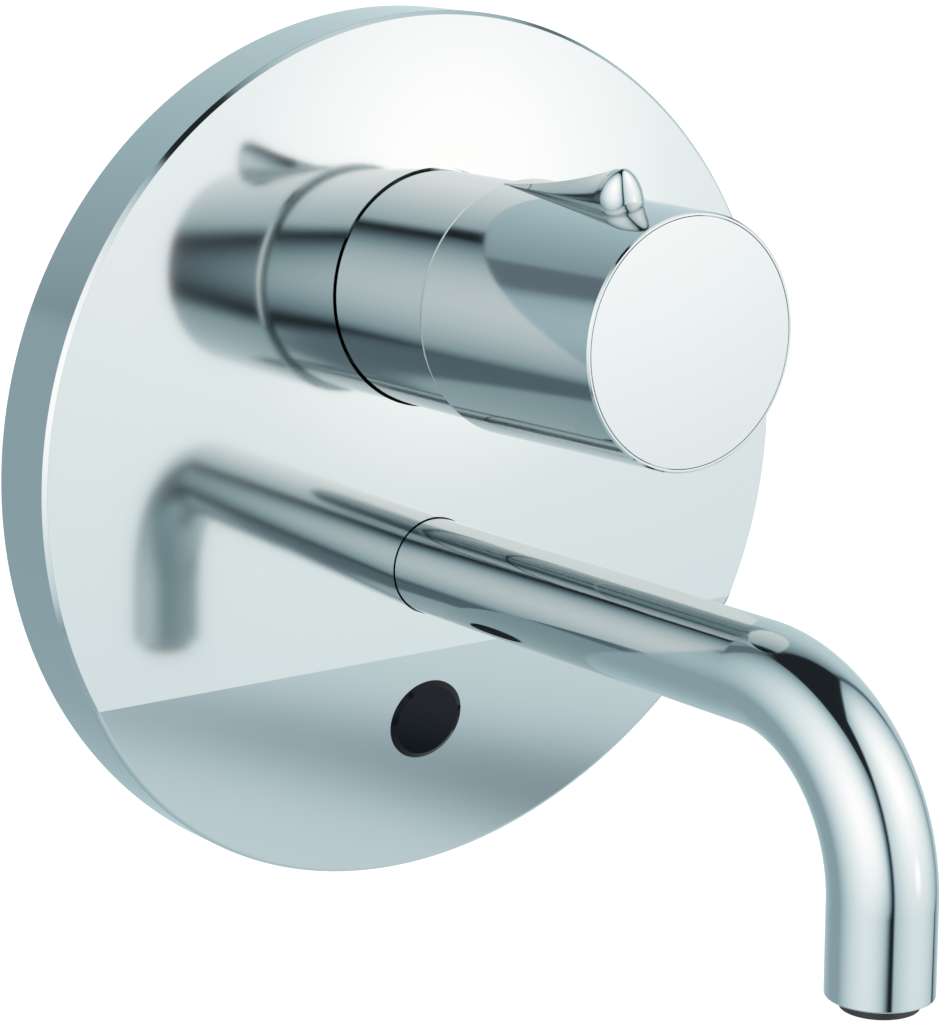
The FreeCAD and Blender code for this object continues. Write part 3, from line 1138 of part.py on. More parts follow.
# Magnetic valve on the right of the body.
valve_spot = (s.valve_seat_reach, s.valve_depth, -s.valve_drop)
guide_start = s.block_width / 2 - s.guide_flange
guide_bore = s.plunger_radius + s.fit_gap
guide_radius = guide_bore + s.guide_wall
plunger_end = s.valve_seat_reach + s.plunger_length
guide_inside = plunger_end + s.valve_spring_length - guide_start
node(spool("plunger_body", valve_spot, "+x", [(s.plunger_radius, s.plunger_length)]), "solenoid_plunger")
node(spool("guide_body", (guide_start, s.valve_depth, -s.valve_drop), "+x", [
    (s.valve_bore - s.fit_gap, s.guide_flange),
    (guide_radius, guide_inside + s.guide_end),
], [
    (guide_bore, guide_inside),
    (ZERO, guide_inside + s.guide_end),
]), "solenoid_guide")
node(spool("valve_spring_body", (plunger_end, s.valve_depth, -s.valve_drop), "+x",
           [(s.valve_spring_radius, s.valve_spring_length)],
           [(s.valve_spring_radius - s.valve_spring_wall, s.valve_spring_length)]), "solenoid_spring")
coil_start = s.block_width / 2 + s.coil_gap
coil_stock = block("coil_stock", (coil_start, s.valve_depth - s.coil_width / 2, -s.valve_drop - s.coil_width / 2),
                   (s.coil_length, s.coil_width, s.coil_width))
coil_hole = cylinder("coil_hole", (coil_start, s.valve_depth, -s.valve_drop), "+x",
                     guide_radius + s.fit_gap, s.coil_length)
node(cut("coil_cut", coil_stock, [coil_hole]), "solenoid_coil")
lead_side = s.box_width / 2 + s.lead_bend
coil_bottom = s.valve_drop + s.coil_width / 2
lead_turn = FreeCAD.Rotation(FreeCAD.Vector(1, 0, 0), FreeCAD.Vector(0, 0, -1), FreeCAD.Vector(0, 1, 0), "ZXY")
node(fuse("coil_lead", [
    cylinder("coil_lead_fall", (lead_side, s.lead_depth, -coil_bottom), "-z", s.lead_radius, s.lead_drop),
    quarter_bend("coil_lead_bend", (lead_side - s.lead_bend, s.lead_depth, -coil_bottom - s.lead_drop),
                 lead_turn, s.lead_bend, s.lead_radius),
    cylinder("coil_lead_level", (lead_side - s.lead_bend, s.lead_depth, -coil_lead_level), "-x",
             s.lead_radius, s.box_wall),
]), "solenoid_cable")

doc.recompute()

faults = []
for item in doc.Objects:
    if "Invalid" in item.State or "Error" in item.State:
        faults.append(item.Name + ": " + ", ".join(item.State))
for label, thing in nodes:
    shape = thing.Shape
    if shape.isNull() or not shape.isValid() or shape.Volume <= 0:
        faults.append(label + ": shape is null, invalid or empty")
if faults:
    raise RuntimeError("\n".join(faults))

os.makedirs("parts", exist_ok=True)
for label, thing in nodes:
    thing.Shape.exportStep("parts/" + label + ".step")
    print("%-20s %10.1f mm3" % (label, thing.Shape.Volume), len(thing.Shape.Solids))
print(len(nodes), "nodes")
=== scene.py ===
import json
from math import asin, atan2, cos, hypot, pi, radians, sin, sqrt, tan

import bmesh
import bpy
from mathutils import Matrix, Vector
from mathutils.geometry import delaunay_2d_cdt


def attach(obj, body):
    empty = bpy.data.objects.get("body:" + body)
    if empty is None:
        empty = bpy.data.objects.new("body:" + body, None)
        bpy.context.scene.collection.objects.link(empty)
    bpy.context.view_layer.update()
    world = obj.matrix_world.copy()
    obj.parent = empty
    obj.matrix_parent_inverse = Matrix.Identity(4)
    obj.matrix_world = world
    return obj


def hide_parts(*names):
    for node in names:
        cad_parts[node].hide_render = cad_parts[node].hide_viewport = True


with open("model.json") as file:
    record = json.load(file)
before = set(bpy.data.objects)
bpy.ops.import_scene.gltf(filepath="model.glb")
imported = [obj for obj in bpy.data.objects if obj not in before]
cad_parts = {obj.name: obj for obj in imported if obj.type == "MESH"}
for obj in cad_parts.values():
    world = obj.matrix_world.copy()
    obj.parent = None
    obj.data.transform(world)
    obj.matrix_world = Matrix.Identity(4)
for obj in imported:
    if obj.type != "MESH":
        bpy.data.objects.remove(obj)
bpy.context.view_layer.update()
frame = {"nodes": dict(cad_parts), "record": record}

mm = 0.001
wayFront = Vector((0, -1, 0))  # out of the wall, over the basin
wayDown = Vector((0, 0, -1))


# Mesh helpers. Lengths are in millimetres until makePiece turns them into metres.

def addObject(name, data):
    made = bpy.data.objects.new(name, data)
    bpy.context.scene.collection.objects.link(made)
    return made


def makePiece(name, points, faces, corners):
    # corners holds one normal for each corner of each face, and each face is turned to agree with them
    for face, normals in zip(faces, corners):
        a, b, c = (Vector(points[v]) for v in face[:3])
        if (b - a).cross(c - a).dot(sum(normals, Vector((0, 0, 0)))) < 0:
            face.reverse()
            normals.reverse()
    mesh = bpy.data.meshes.new(name)
    mesh.from_pydata([(p[0] * mm, p[1] * mm, p[2] * mm) for p in points], [], faces)
    mesh.polygons.foreach_set("use_smooth", [True] * len(mesh.polygons))
    mesh.normals_split_custom_set([tuple(n) for face in corners for n in face])
    mesh.update()
    return addObject(name, mesh)


def outwards(way):
    return (way[1], -way[0])  # to the right of the way the outline runs


def outline(spots, closed=True, arcSteps=5):
    # straight runs and round corners through (radius, height, rounding) spots, as segments:
    # start, end, normal at the start, normal at the end
    count = len(spots)
    ways = []
    for index in range(count if closed else count - 1):
        a, b = spots[index], spots[(index + 1) % count]
        length = hypot(b[0] - a[0], b[1] - a[1])
        ways.append(((b[0] - a[0]) / length, (b[1] - a[1]) / length))
    starts, ends, arcs = {}, {}, {}
    for index in range(count):
        spot = spots[index]
        if spot[2] <= 0 or (not closed and index in (0, count - 1)):
            ends[index] = starts[index] = (spot[0], spot[1])
            continue
        came, goes = ways[index - 1], ways[index]
        cross = came[0] * goes[1] - came[1] * goes[0]
        turn = atan2(cross, came[0] * goes[0] + came[1] * goes[1])
        cutBack = spot[2] * tan(abs(turn) / 2)
        first = (spot[0] - came[0] * cutBack, spot[1] - came[1] * cutBack)
        last = (spot[0] + goes[0] * cutBack, spot[1] + goes[1] * cutBack)
        side = 1 if turn > 0 else -1
        normal = outwards(came)
        middle = (first[0] - side * normal[0] * spot[2], first[1] - side * normal[1] * spot[2])
        run = []
        for step in range(arcSteps + 1):
            angle = turn * step / arcSteps
            way = (came[0] * cos(angle) - came[1] * sin(angle),
                   came[0] * sin(angle) + came[1] * cos(angle))
            normal = outwards(way)
            run.append(((middle[0] + side * normal[0] * spot[2],
                         middle[1] + side * normal[1] * spot[2]), normal))
        ends[index], starts[index], arcs[index] = first, last, run
    segments = []
    for index, way in enumerate(ways):
        following = (index + 1) % count
        if index in arcs:
            for a, b in zip(arcs[index], arcs[index][1:]):
                segments.append((a[0], b[0], a[1], b[1]))
        segments.append((starts[index], ends[following], outwards(way), outwards(way)))
    return segments


def circle(count):
    # even steps round the unit circle
    return [(cos(2 * pi * k / count), sin(2 * pi * k / count)) for k in range(count)]


def profile(cfg, rows, closed=True):
    # an outline whose rows name a radius, a height and a rounding; - stands for 0
    sizes = {"-": 0, **cfg}
    return outline([[sizes[name] for name in row.split()] for row in rows.split(",")], closed)


def straight(base, way, side=(1, 0, 0)):
    # a path along way from base; side is where the angle starts
    way, side = Vector(way).normalized(), Vector(side).normalized()
    up = way.cross(side)
    return lambda height: (Vector(base) + way * height, way, side, up)


def sweep(name, segments, path, around, heights=()):
    # turns the outline round the path; heights are the levels at which long runs are divided
    runs = []
    for start, end, first, last in segments:
        stops = [0.0, 1.0]
        span = end[1] - start[1]
        if abs(span) > 1e-9:
            stops += [(level - start[1]) / span for level in heights
                      if 1e-6 < (level - start[1]) / span < 1 - 1e-6]
        stops = sorted(stops)
        for a, b in zip(stops, stops[1:]):
            runs.append([tuple(start[k] + (end[k] - start[k]) * t for k in (0, 1)) for t in (a, b)]
                        + [tuple(first[k] + (last[k] - first[k]) * t for k in (0, 1)) for t in (a, b)])
    points, faces, corners, rings = [], [], [], {}
    turns = circle(around)

    def ring(spot):
        key = (round(spot[0], 6), round(spot[1], 6))
        if key not in rings:
            middle, way, side, up = path(spot[1])
            if spot[0] < 1e-6:
                rings[key] = [len(points)] * around
                points.append(middle)
            else:
                rings[key] = list(range(len(points), len(points) + around))
                points.extend(middle + (side * c + up * v) * spot[0] for c, v in turns)
        return rings[key]

    for start, end, first, last in runs:
        low, high = ring(start), ring(end)
        frames = (path(start[1]), path(end[1]))
        normals = [[(f[2] * c + f[3] * v) * n[0] + f[1] * n[1] for c, v in turns]
                   for f, n in zip(frames, (first, last))]
        for k in range(around):
            j = (k + 1) % around
            loop = [(low[k], normals[0][k]), (low[j], normals[0][j]),
                    (high[j], normals[1][j]), (high[k], normals[1][k])]
            if low[k] == low[j]:
                loop.pop(1)
            elif high[k] == high[j]:
                loop.pop(2)
            faces.append([item[0] for item in loop])
            corners.append([item[1] for item in loop])
    return makePiece(name, points, faces, corners)


def dress(piece, body, slot, material, *nodes):
    piece.data.materials.clear()
    piece.data.materials.append(material)
    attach(piece, body)
    if nodes:
        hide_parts(*nodes)
    return piece


# Node helpers.

def plug(tree, value, socket):
    # a socket is linked and any other value is set; a list gives one socket several links
    for part in value if isinstance(value, list) else [value]:
        if isinstance(part, bpy.types.NodeSocket):
            tree.links.new(part, socket)
        else:
            socket.default_value = part


def addNode(tree, kind, inputs=None, family="ShaderNode", **settings):
    # a node with its settings and inputs; gives its outputs
    node = tree.nodes.new(family + kind)
    for name, setting in settings.items():
        setattr(node, name, setting)
    for key, value in (inputs or {}).items():
        plug(tree, value, node.inputs[key])
    return node.outputs


def calc(tree, operation, *values):
    return addNode(tree, "Math", dict(enumerate(values)), operation=operation)[0]


def times(tree, *values):
    return calc(tree, "MULTIPLY", *values)


def less(tree, *values):
    return calc(tree, "SUBTRACT", *values)


def between(tree, low, high, value):
    # 0 below low, 1 above high, smooth between them
    return addNode(tree, "MapRange", {"Value": value, "From Min": low, "From Max": high},
                   interpolation_type="SMOOTHSTEP")["Result"]


def newGroup(name, kind, inputs, outputs):
    # a node group with named sockets; inputs are (name, type, value)
    group = bpy.data.node_groups.new(name, kind)
    for label, socketType, value in inputs:
        socket = group.interface.new_socket(label, in_out="INPUT", socket_type="NodeSocket" + socketType)
        if value is not None:
            socket.default_value = value
    for label, socketType in outputs:
        group.interface.new_socket(label, in_out="OUTPUT", socket_type="NodeSocket" + socketType)
    return group, group.nodes.new("NodeGroupInput").outputs, group.nodes.new("NodeGroupOutput").inputs


# Finishes.

finishCfg = {
    "Haze Scale": 28.0, "Grain Scale": 900.0, "Patch Scale": 45.0, "hazeDetail": 2.0, "grainDetail": 3.0,
    "fineDetail": 4.0, "patchDetail": 2.0, "wornFrom": 0.3, "wornTo": 0.75, "fineShare": 0.6,
}


def noise(tree, vector, scale, detail):
    return addNode(tree, "TexNoise", {"Vector": vector, "Scale": scale, "Detail": detail})["Fac"]


def swing(tree, value, amount, middle):
    # middle, give or take half the amount, as the value runs from 0 to 1
    return calc(tree, "MULTIPLY_ADD", less(tree, value, 0.5), amount, middle)


def buildPolish(cfg):
    # polish left by the wheel: broad haze and fine grain in the roughness
    group, given, gives = newGroup("polish", "ShaderNodeTree", (
        ("Roughness", "Float", 0.08), ("Haze", "Float", 0.01), ("Grain", "Float", 0.006),
        ("Haze Scale", "Float", cfg["Haze Scale"]), ("Grain Scale", "Float", cfg["Grain Scale"])),
        [("Roughness", "Float")])
    spot = addNode(group, "TexCoord")["Object"]
    haze = noise(group, spot, given["Haze Scale"], cfg["hazeDetail"])
    fine = noise(group, spot, given["Grain Scale"], cfg["grainDetail"])
    wide = swing(group, haze, given["Haze"], given["Roughness"])
    plug(group, swing(group, fine, given["Grain"], wide), gives["Roughness"])
    return group


def buildGrain(cfg):
    # moulded, cast and rolled surfaces: two tones, roughness and height that vary together
    group, given, gives = newGroup("grain", "ShaderNodeTree", (
        ("Colour", "Color", (0.5, 0.5, 0.5, 1)), ("Worn Colour", "Color", (0.6, 0.6, 0.6, 1)),
        ("Scale", "Float", 400.0), ("Stretch", "Vector", (1, 1, 1)),
        ("Patch Scale", "Float", cfg["Patch Scale"]), ("Roughness", "Float", 0.5), ("Spread", "Float", 0.12)),
        (("Colour", "Color"), ("Roughness", "Float"), ("Height", "Float")))
    spot = addNode(group, "TexCoord")["Object"]
    drawn = addNode(group, "VectorMath", {0: spot, 1: given["Stretch"]}, operation="MULTIPLY")[0]
    fine = noise(group, drawn, given["Scale"], cfg["fineDetail"])
    patch = noise(group, spot, given["Patch Scale"], cfg["patchDetail"])
    worn = calc(group, "MULTIPLY_ADD", fine, cfg["fineShare"], times(group, patch, 1 - cfg["fineShare"]))
    mask = between(group, cfg["wornFrom"], cfg["wornTo"], worn)
    mix = addNode(group, "Mix", {0: mask, 6: given["Colour"], 7: given["Worn Colour"]},
                  data_type="RGBA")
    plug(group, mix[2], gives["Colour"])
    plug(group, swing(group, fine, given["Spread"], given["Roughness"]), gives["Roughness"])
    plug(group, fine, gives["Height"])
    return group


polish, grain = buildPolish(finishCfg), buildGrain(finishCfg)


def newMaterial(name):
    material = bpy.data.materials.new(name)
    material.use_nodes = True
    tree = material.node_tree
    return material, tree, tree.nodes["Principled BSDF"]


def polished(name, colour, metallic, roughness, haze, fine, ior=1.5):
    material, tree, shader = newMaterial(name)
    shader.inputs["Base Color"].default_value = (*colour, 1)
    shader.inputs["Metallic"].default_value = metallic
    shader.inputs["IOR"].default_value = ior
    finish = addNode(tree, "Group", {"Roughness": roughness, "Haze": haze, "Grain": fine},
                     node_tree=polish)
    plug(tree, finish["Roughness"], shader.inputs["Roughness"])
    return material


def grained(name, colour, worn, roughness, spread, scale, depth=None, metallic=0.0, **more):
    material, tree, shader = newMaterial(name)
    shader.inputs["Metallic"].default_value = metallic
    finish = addNode(tree, "Group", {
        "Colour": (*colour, 1), "Worn Colour": (*worn, 1), "Scale": scale, "Roughness": roughness,
        "Spread": spread, **more}, node_tree=grain)
    plug(tree, finish["Colour"], shader.inputs["Base Color"])
    plug(tree, finish["Roughness"], shader.inputs["Roughness"])
    if depth:
        bump = addNode(tree, "Bump", {"Strength": 1.0, "Distance": depth, "Height": finish["Height"]})
        plug(tree, bump["Normal"], shader.inputs["Normal"])
    return material


chromeColour = (0.55, 0.605, 0.613)
plateChrome = polished("plateChrome", chromeColour, 1, 0.085, 0.012, 0.006)
handleChrome = polished("handleChrome", chromeColour, 1, 0.07, 0.01, 0.006)
spoutChrome = polished("spoutChrome", chromeColour, 1, 0.065, 0.01, 0.006)
windowBlack = polished("windowBlack", (0.004, 0.006, 0.012), 0, 0.03, 0.01, 0.004, ior=1.24)
coalPlastic = grained("coalPlastic", (0.02, 0.021, 0.023), (0.032, 0.033, 0.036), 0.42, 0.15, 900, 0.00002)
sealRubber = grained("sealRubber", (0.016, 0.016, 0.016), (0.03, 0.03, 0.029), 0.62, 0.2, 600, 0.00003)
rolledSteel = grained("rolledSteel", (0.52, 0.53, 0.54), (0.66, 0.67, 0.68), 0.3, 0.16, 500, 0.000008, 1,
                      Stretch=(1, 1, 0.04))
screwSteel = grained("screwSteel", (0.56, 0.57, 0.58), (0.7, 0.71, 0.72), 0.26, 0.12, 700, 0.000008, 1)
castBrass = grained("castBrass", (0.66, 0.49, 0.23), (0.8, 0.64, 0.36), 0.34, 0.2, 260, 0.00003, 1)
whitePlastic = grained("whitePlastic", (0.78, 0.78, 0.75), (0.86, 0.86, 0.84), 0.4, 0.12, 700, 0.00001)
lappedCeramic = grained("lappedCeramic", (0.88, 0.88, 0.84), (0.94, 0.94, 0.91), 0.16, 0.08, 900, 0.000003)
greyPlastic = grained("greyPlastic", (0.2, 0.21, 0.23), (0.27, 0.28, 0.3), 0.48, 0.16, 800, 0.00003)
boardGreen = grained("boardGreen", (0.015, 0.12, 0.05), (0.03, 0.2, 0.09), 0.36, 0.14, 300, 0.00001)
coilBlack = grained("coilBlack", (0.035, 0.042, 0.055), (0.055, 0.062, 0.078), 0.45, 0.14, 500, 0.00003)
leadBlack = grained("leadBlack", (0.02, 0.02, 0.021), (0.036, 0.036, 0.037), 0.5, 0.16, 700, 0.00002)
paleFloor = grained("paleFloor", (0.86, 0.87, 0.87), (0.88, 0.89, 0.89), 0.8, 0.05, 3.0,
                    **{"Patch Scale": 0.6})
slotMaterials = {
    "chrome_plate": plateChrome, "chrome_handle": handleChrome, "black_window": windowBlack,
    "black_plastic": coalPlastic, "rubber": sealRubber, "steel": rolledSteel, "brass": castBrass,
    "white_plastic": whitePlastic, "ceramic": lappedCeramic, "grey_plastic": greyPlastic, "board": boardGreen,
    "coil_plastic": coilBlack, "lead_rubber": leadBlack,
}
print("finishes built", len(bpy.data.materials))

# Cover plate: a round dish with a sloped lower facet.

plateCfg = {
    "radius": 100.0, "front": 19.0, "back": 0.3, "wall": 2.5, "rimWall": 2.0, "crease": 45.5, "slope": 11.4,
    "facetRound": 1.2, "chamfer": 0.9, "chamferRound": 0.12, "innerRound": 0.6, "innerChamfer": 0.5,
    "innerChamferRound": 0.1, "crown": 1400.0, "steps": 720, "crowd": 0.9, "holeSteps": 240,
}
slope = radians(plateCfg["slope"])
facetNormal = Vector((0, -cos(slope), -sin(slope)))
handleLevel, sleeveHole = 38.5, 26.95
spoutLevel, spoutHole = -25.5, 11.25
sensorLevel, sensorHole = -62.7, 8.85


def facetOut(level, front, crease):
    # distance of the plate's surface from the wall at a level
    return front - max(0.0, -level - crease) * tan(slope)


sensorSpot = Vector((0, -facetOut(sensorLevel, plateCfg["front"], plateCfg["crease"]), sensorLevel))


def plateEdge(angle, skin):
    # points and normals from the rim over the edge to the face, at one bearing
    radius, front, crease, rounding, chamfer, chamferRound = skin
    out = Vector((cos(angle), 0, sin(angle)))
    level = radius * sin(angle)
    bevel = outline([(radius, 0, 0), (radius, front - chamfer, chamferRound),
                     (radius - chamfer, front, chamferRound), (0, front, 0)], False, 3)[1:-1]
    spots = [bevel[0][0]] + [part[1] for part in bevel]
    hats = [bevel[0][2]] + [part[3] for part in bevel]
    flat = [(out * spot[0] + wayFront * spot[1], out * hat[0] + wayFront * hat[1])
            for spot, hat in zip(spots, hats)]
    if level > -crease + chamfer:
        return flat
    # a ball of the rounding's radius rolled along rim and facet
    inner = radius - rounding
    height = facetOut(inner * sin(angle), front, crease) - rounding / cos(slope)
    if inner * sin(angle) > -crease:
        height = front - rounding
    middle = out * inner + wayFront * height
    spread = out.angle(facetNormal)
    rolled = []
    for step in range(len(flat)):
        share = step / (len(flat) - 1)
        hat = (out * sin((1 - share) * spread) + facetNormal * sin(share * spread)) / sin(spread)
        rolled.append((middle + hat * rounding, hat))
    blend = min(1.0, max(0.0, (-crease + chamfer - level) / (2 * chamfer)))
    return [(a[0].lerp(b[0], blend), a[1].lerp(b[1], blend).normalized()) for a, b in zip(flat, rolled)]


def plateSkin(cfg, skin, holes, crown=0.0):
    # one skin of the dish: rim, edge and the two flat faces with their holes; gives points, faces,
    # corner normals, the rings of the holes and the back edge
    radius, crease, chamfer, steps = skin[0], skin[2], skin[4], cfg["steps"]
    points, faces, corners = [], [], []
    # bearings: an even ring with the crease's ends among them
    half = asin(crease / (radius - chamfer))
    ends = [pi + half, 2 * pi - half]
    apart = pi / steps * cfg["crowd"]
    bearings = sorted([2 * pi * k / steps for k in range(steps)
                       if all(abs(2 * pi * k / steps - end) > apart for end in ends)] + ends)
    columns = []
    for angle in bearings:
        out = Vector((cos(angle), 0, sin(angle)))
        columns.append([(out * radius + wayFront * cfg["back"], out)] + plateEdge(angle, skin))
        points.extend(spot for spot, hat in columns[-1])
    size, count = len(columns[0]), len(columns)
    for k in range(count):
        j = (k + 1) % count
        for row in range(size - 1):
            faces.append([j * size + row, k * size + row, k * size + row + 1, j * size + row + 1])
            corners.append([columns[j][row][1],
                            columns[k][row][1], columns[k][row + 1][1], columns[j][row + 1][1]])
    low, high = [], []  # the edge's points on the facet and on the upright face
    for k, angle in enumerate(bearings):
        index = k * size + size - 1
        onCrease = min(abs(angle - end) for end in ends) < 1e-9
        onFacet = points[index][2] < -crease
        if onCrease or onFacet:
            low.append(index)
        if onCrease or not onFacet:
            high.append(index)
    rings = {}
    for name, spot, holeRadius, onFacet in holes:
        up = Vector((0, -sin(slope), cos(slope))) if onFacet else Vector((0, 0, 1))
        rings[name] = list(range(len(points), len(points) + cfg["holeSteps"]))
        points.extend(spot + (Vector((1, 0, 0)) * c + up * s) * holeRadius
                      for c, s in circle(cfg["holeSteps"]))
    for boundary, normal, isFacet in ((high, wayFront, False), (low, facetNormal, True)):
        inside = [hole for hole in holes if hole[3] == isFacet]
        fall = cos(slope) if isFacet else 1.0
        lean = 0.0 if isFacet else crown  # the upright face is shaded as a very shallow dome
        loops = [boundary] + [rings[hole[0]] for hole in inside]
        ids = [index for loop in loops for index in loop]
        flat = [Vector((points[index][0], points[index][2])) for index in ids]
        loopIds, at = [], 0
        for loop in loops:
            loopIds.append(list(range(at, at + len(loop))))
            at += len(loop)
        edges = [(loop[k], loop[(k + 1) % len(loop)]) for loop in loopIds for k in range(len(loop))]
        spots, _, tris, origin, _, _ = delaunay_2d_cdt(flat, edges, [loopIds[0]], 1, 1e-7)
        for tri in tris:
            middle = sum((spots[v] for v in tri), Vector((0, 0))) / 3
            if any(hypot(middle[0] - spot[0], (middle[1] - spot[2]) / fall) < holeRadius - 1e-4
                   for name, spot, holeRadius, _ in inside):
                continue
            loop = [ids[origin[v][0]] for v in tri]
            a, b, c = (points[v] for v in loop)
            if (b - a).cross(c - a).dot(normal) < 0:
                loop.reverse()
            faces.append(loop)
            corners.append([(normal + Vector((points[v][0], 0, points[v][2])) * lean).normalized()
                            for v in loop])
    return points, faces, corners, rings, [k * size for k in range(count)]


def buildPlate(cfg):
    holes = [("sleeve", Vector((0, -cfg["front"], handleLevel)), sleeveHole, False),
             ("spout", Vector((0, -cfg["front"], spoutLevel)), spoutHole, False),
             ("sensor", sensorSpot, sensorHole, True)]
    depth = cfg["wall"]
    outer = plateSkin(cfg, (cfg["radius"], cfg["front"], cfg["crease"], cfg["facetRound"], cfg["chamfer"],
                            cfg["chamferRound"]), holes, 1 / cfg["crown"])
    innerHoles = [(name, spot - (facetNormal if onFacet else wayFront) * depth, radius, onFacet)
                  for name, spot, radius, onFacet in holes]
    innerCrease = cfg["crease"] - depth * tan(slope / 2)
    inner = plateSkin(cfg, (cfg["radius"] - cfg["rimWall"], cfg["front"] - depth, innerCrease,
                            cfg["innerRound"], cfg["innerChamfer"], cfg["innerChamferRound"]), innerHoles)
    points, faces, corners = list(outer[0]), list(outer[1]), list(outer[2])
    shift = len(points)
    points += inner[0]
    for face, normals in zip(inner[1], inner[2]):
        faces.append([v + shift for v in reversed(face)])
        corners.append([-n for n in reversed(normals)])
    for name, spot, radius, onFacet in holes:
        a, b = outer[3][name], [v + shift for v in inner[3][name]]
        count = len(a)
        for k in range(count):
            j = (k + 1) % count
            hats = [(spot - points[v]).normalized() for v in (a[k], a[j])]
            faces.append([a[j], a[k], b[k], b[j]])
            corners.append([hats[1], hats[0], hats[0], hats[1]])
    a, b = outer[4], [v + shift for v in inner[4]]
    # back edge of the rim, between rings of unequal count
    back = Vector((0, 1, 0))
    i = j = 0
    bearing = lambda v: atan2(points[v][2], points[v][0]) % (2 * pi)
    while i < len(a) or j < len(b):
        nextA = bearing(a[(i + 1) % len(a)]) + (2 * pi if i + 1 >= len(a) else 0)
        nextB = bearing(b[(j + 1) % len(b)]) + (2 * pi if j + 1 >= len(b) else 0)
        if j >= len(b) or (i < len(a) and nextA <= nextB):
            faces.append([a[i % len(a)], a[(i + 1) % len(a)], b[j % len(b)]])
            i += 1
        else:
            faces.append([a[i % len(a)], b[(j + 1) % len(b)], b[j % len(b)]])
            j += 1
        corners.append([back] * 3)
    return makePiece("coverPlate", points, faces, corners)


coverPlate = dress(buildPlate(plateCfg), "root", "chrome_plate", plateChrome, "cover_plate")
print("cover plate", len(coverPlate.data.polygons), "faces")

# Handle: fixed collar, turning shell, flush front face.

sleeveCfg = {"bore": 22.05, "back": 10.0, "radius": 26.5, "front": 52.7, "step": 24.6, "neck": 58.0,
             "inner": 23.6, "mouth": 14.0, "backRound": 0.3, "frontRound": 0.25, "neckRound": 0.1}
handleCfg = {
    "turn": -12.6, "seam": 53.0, "length": 57.0, "rear": 27.9, "front": 26.8, "rearFace": 27.5,
    "rearEdge": 1.2, "frontFace": 26.45, "frontEdge": 56.65, "edgeRound": 0.06, "bodyRound": 0.1,
    "bore": 25.0, "frontBore": 24.0, "webFront": 25.0, "webBack": 22.0, "screwHole": 2.6,
    "capSeat": 26.0, "capRadius": 25.9, "capBack": 54.5, "capRound": 0.12, "around": 256,
}


def buildHandlePart(name, cfg, rows, closed=True, start=handleCfg["seam"]):
    path = straight((0, -start, handleLevel), wayFront)
    return sweep(name, profile(cfg, rows, closed), path, handleCfg["around"])


sleeve = buildHandlePart(
    "handleSleeve", sleeveCfg, "bore back -, radius back backRound, radius front frontRound, step front -,"
    "step neck neckRound, inner neck neckRound, inner mouth -, bore mouth -", start=0)
dress(sleeve, "root", "chrome_plate", handleChrome, "handle_sleeve")
shell = buildHandlePart(
    "handleShell", handleCfg, "bore - -, rearFace - edgeRound, rear rearEdge bodyRound,"
    "front frontEdge bodyRound, frontFace length edgeRound, capSeat length bodyRound, capSeat capBack -,"
    "frontBore capBack -, frontBore webFront -, screwHole webFront -, screwHole webBack -, bore webBack -")
dress(shell, "handle", "chrome_handle", handleChrome, "handle_shell")
cap = buildHandlePart("handleCap", handleCfg, "- capBack -, capRadius capBack -, capRadius length capRound,"
                      "- length -", False)
dress(cap, "handle", "chrome_handle", handleChrome, "handle_cap")
print("handle built")

# Grip tab: a teardrop with a hollow back that ends in a domed head.

tabCfg = {
    "tail": 0.7, "head": 41.0, "radius": 4.9, "nose": 2.4, "hollow": 200.0, "lowest": 14.5, "level": 27.4,
    "flatten": 0.4, "wall": 2.2, "noseFall": 0.24, "dome": 0.92, "domeGrowth": 3.0, "taper": 1.2,
    "bulge": 0.85, "sink": 0.8, "core": 1.5, "bevel": 0.035, "strip": 0.015, "crowding": 1.4, "arcSteps": 64,
    "lineSteps": 60, "rings": 30, "wallSteps": 10,
}


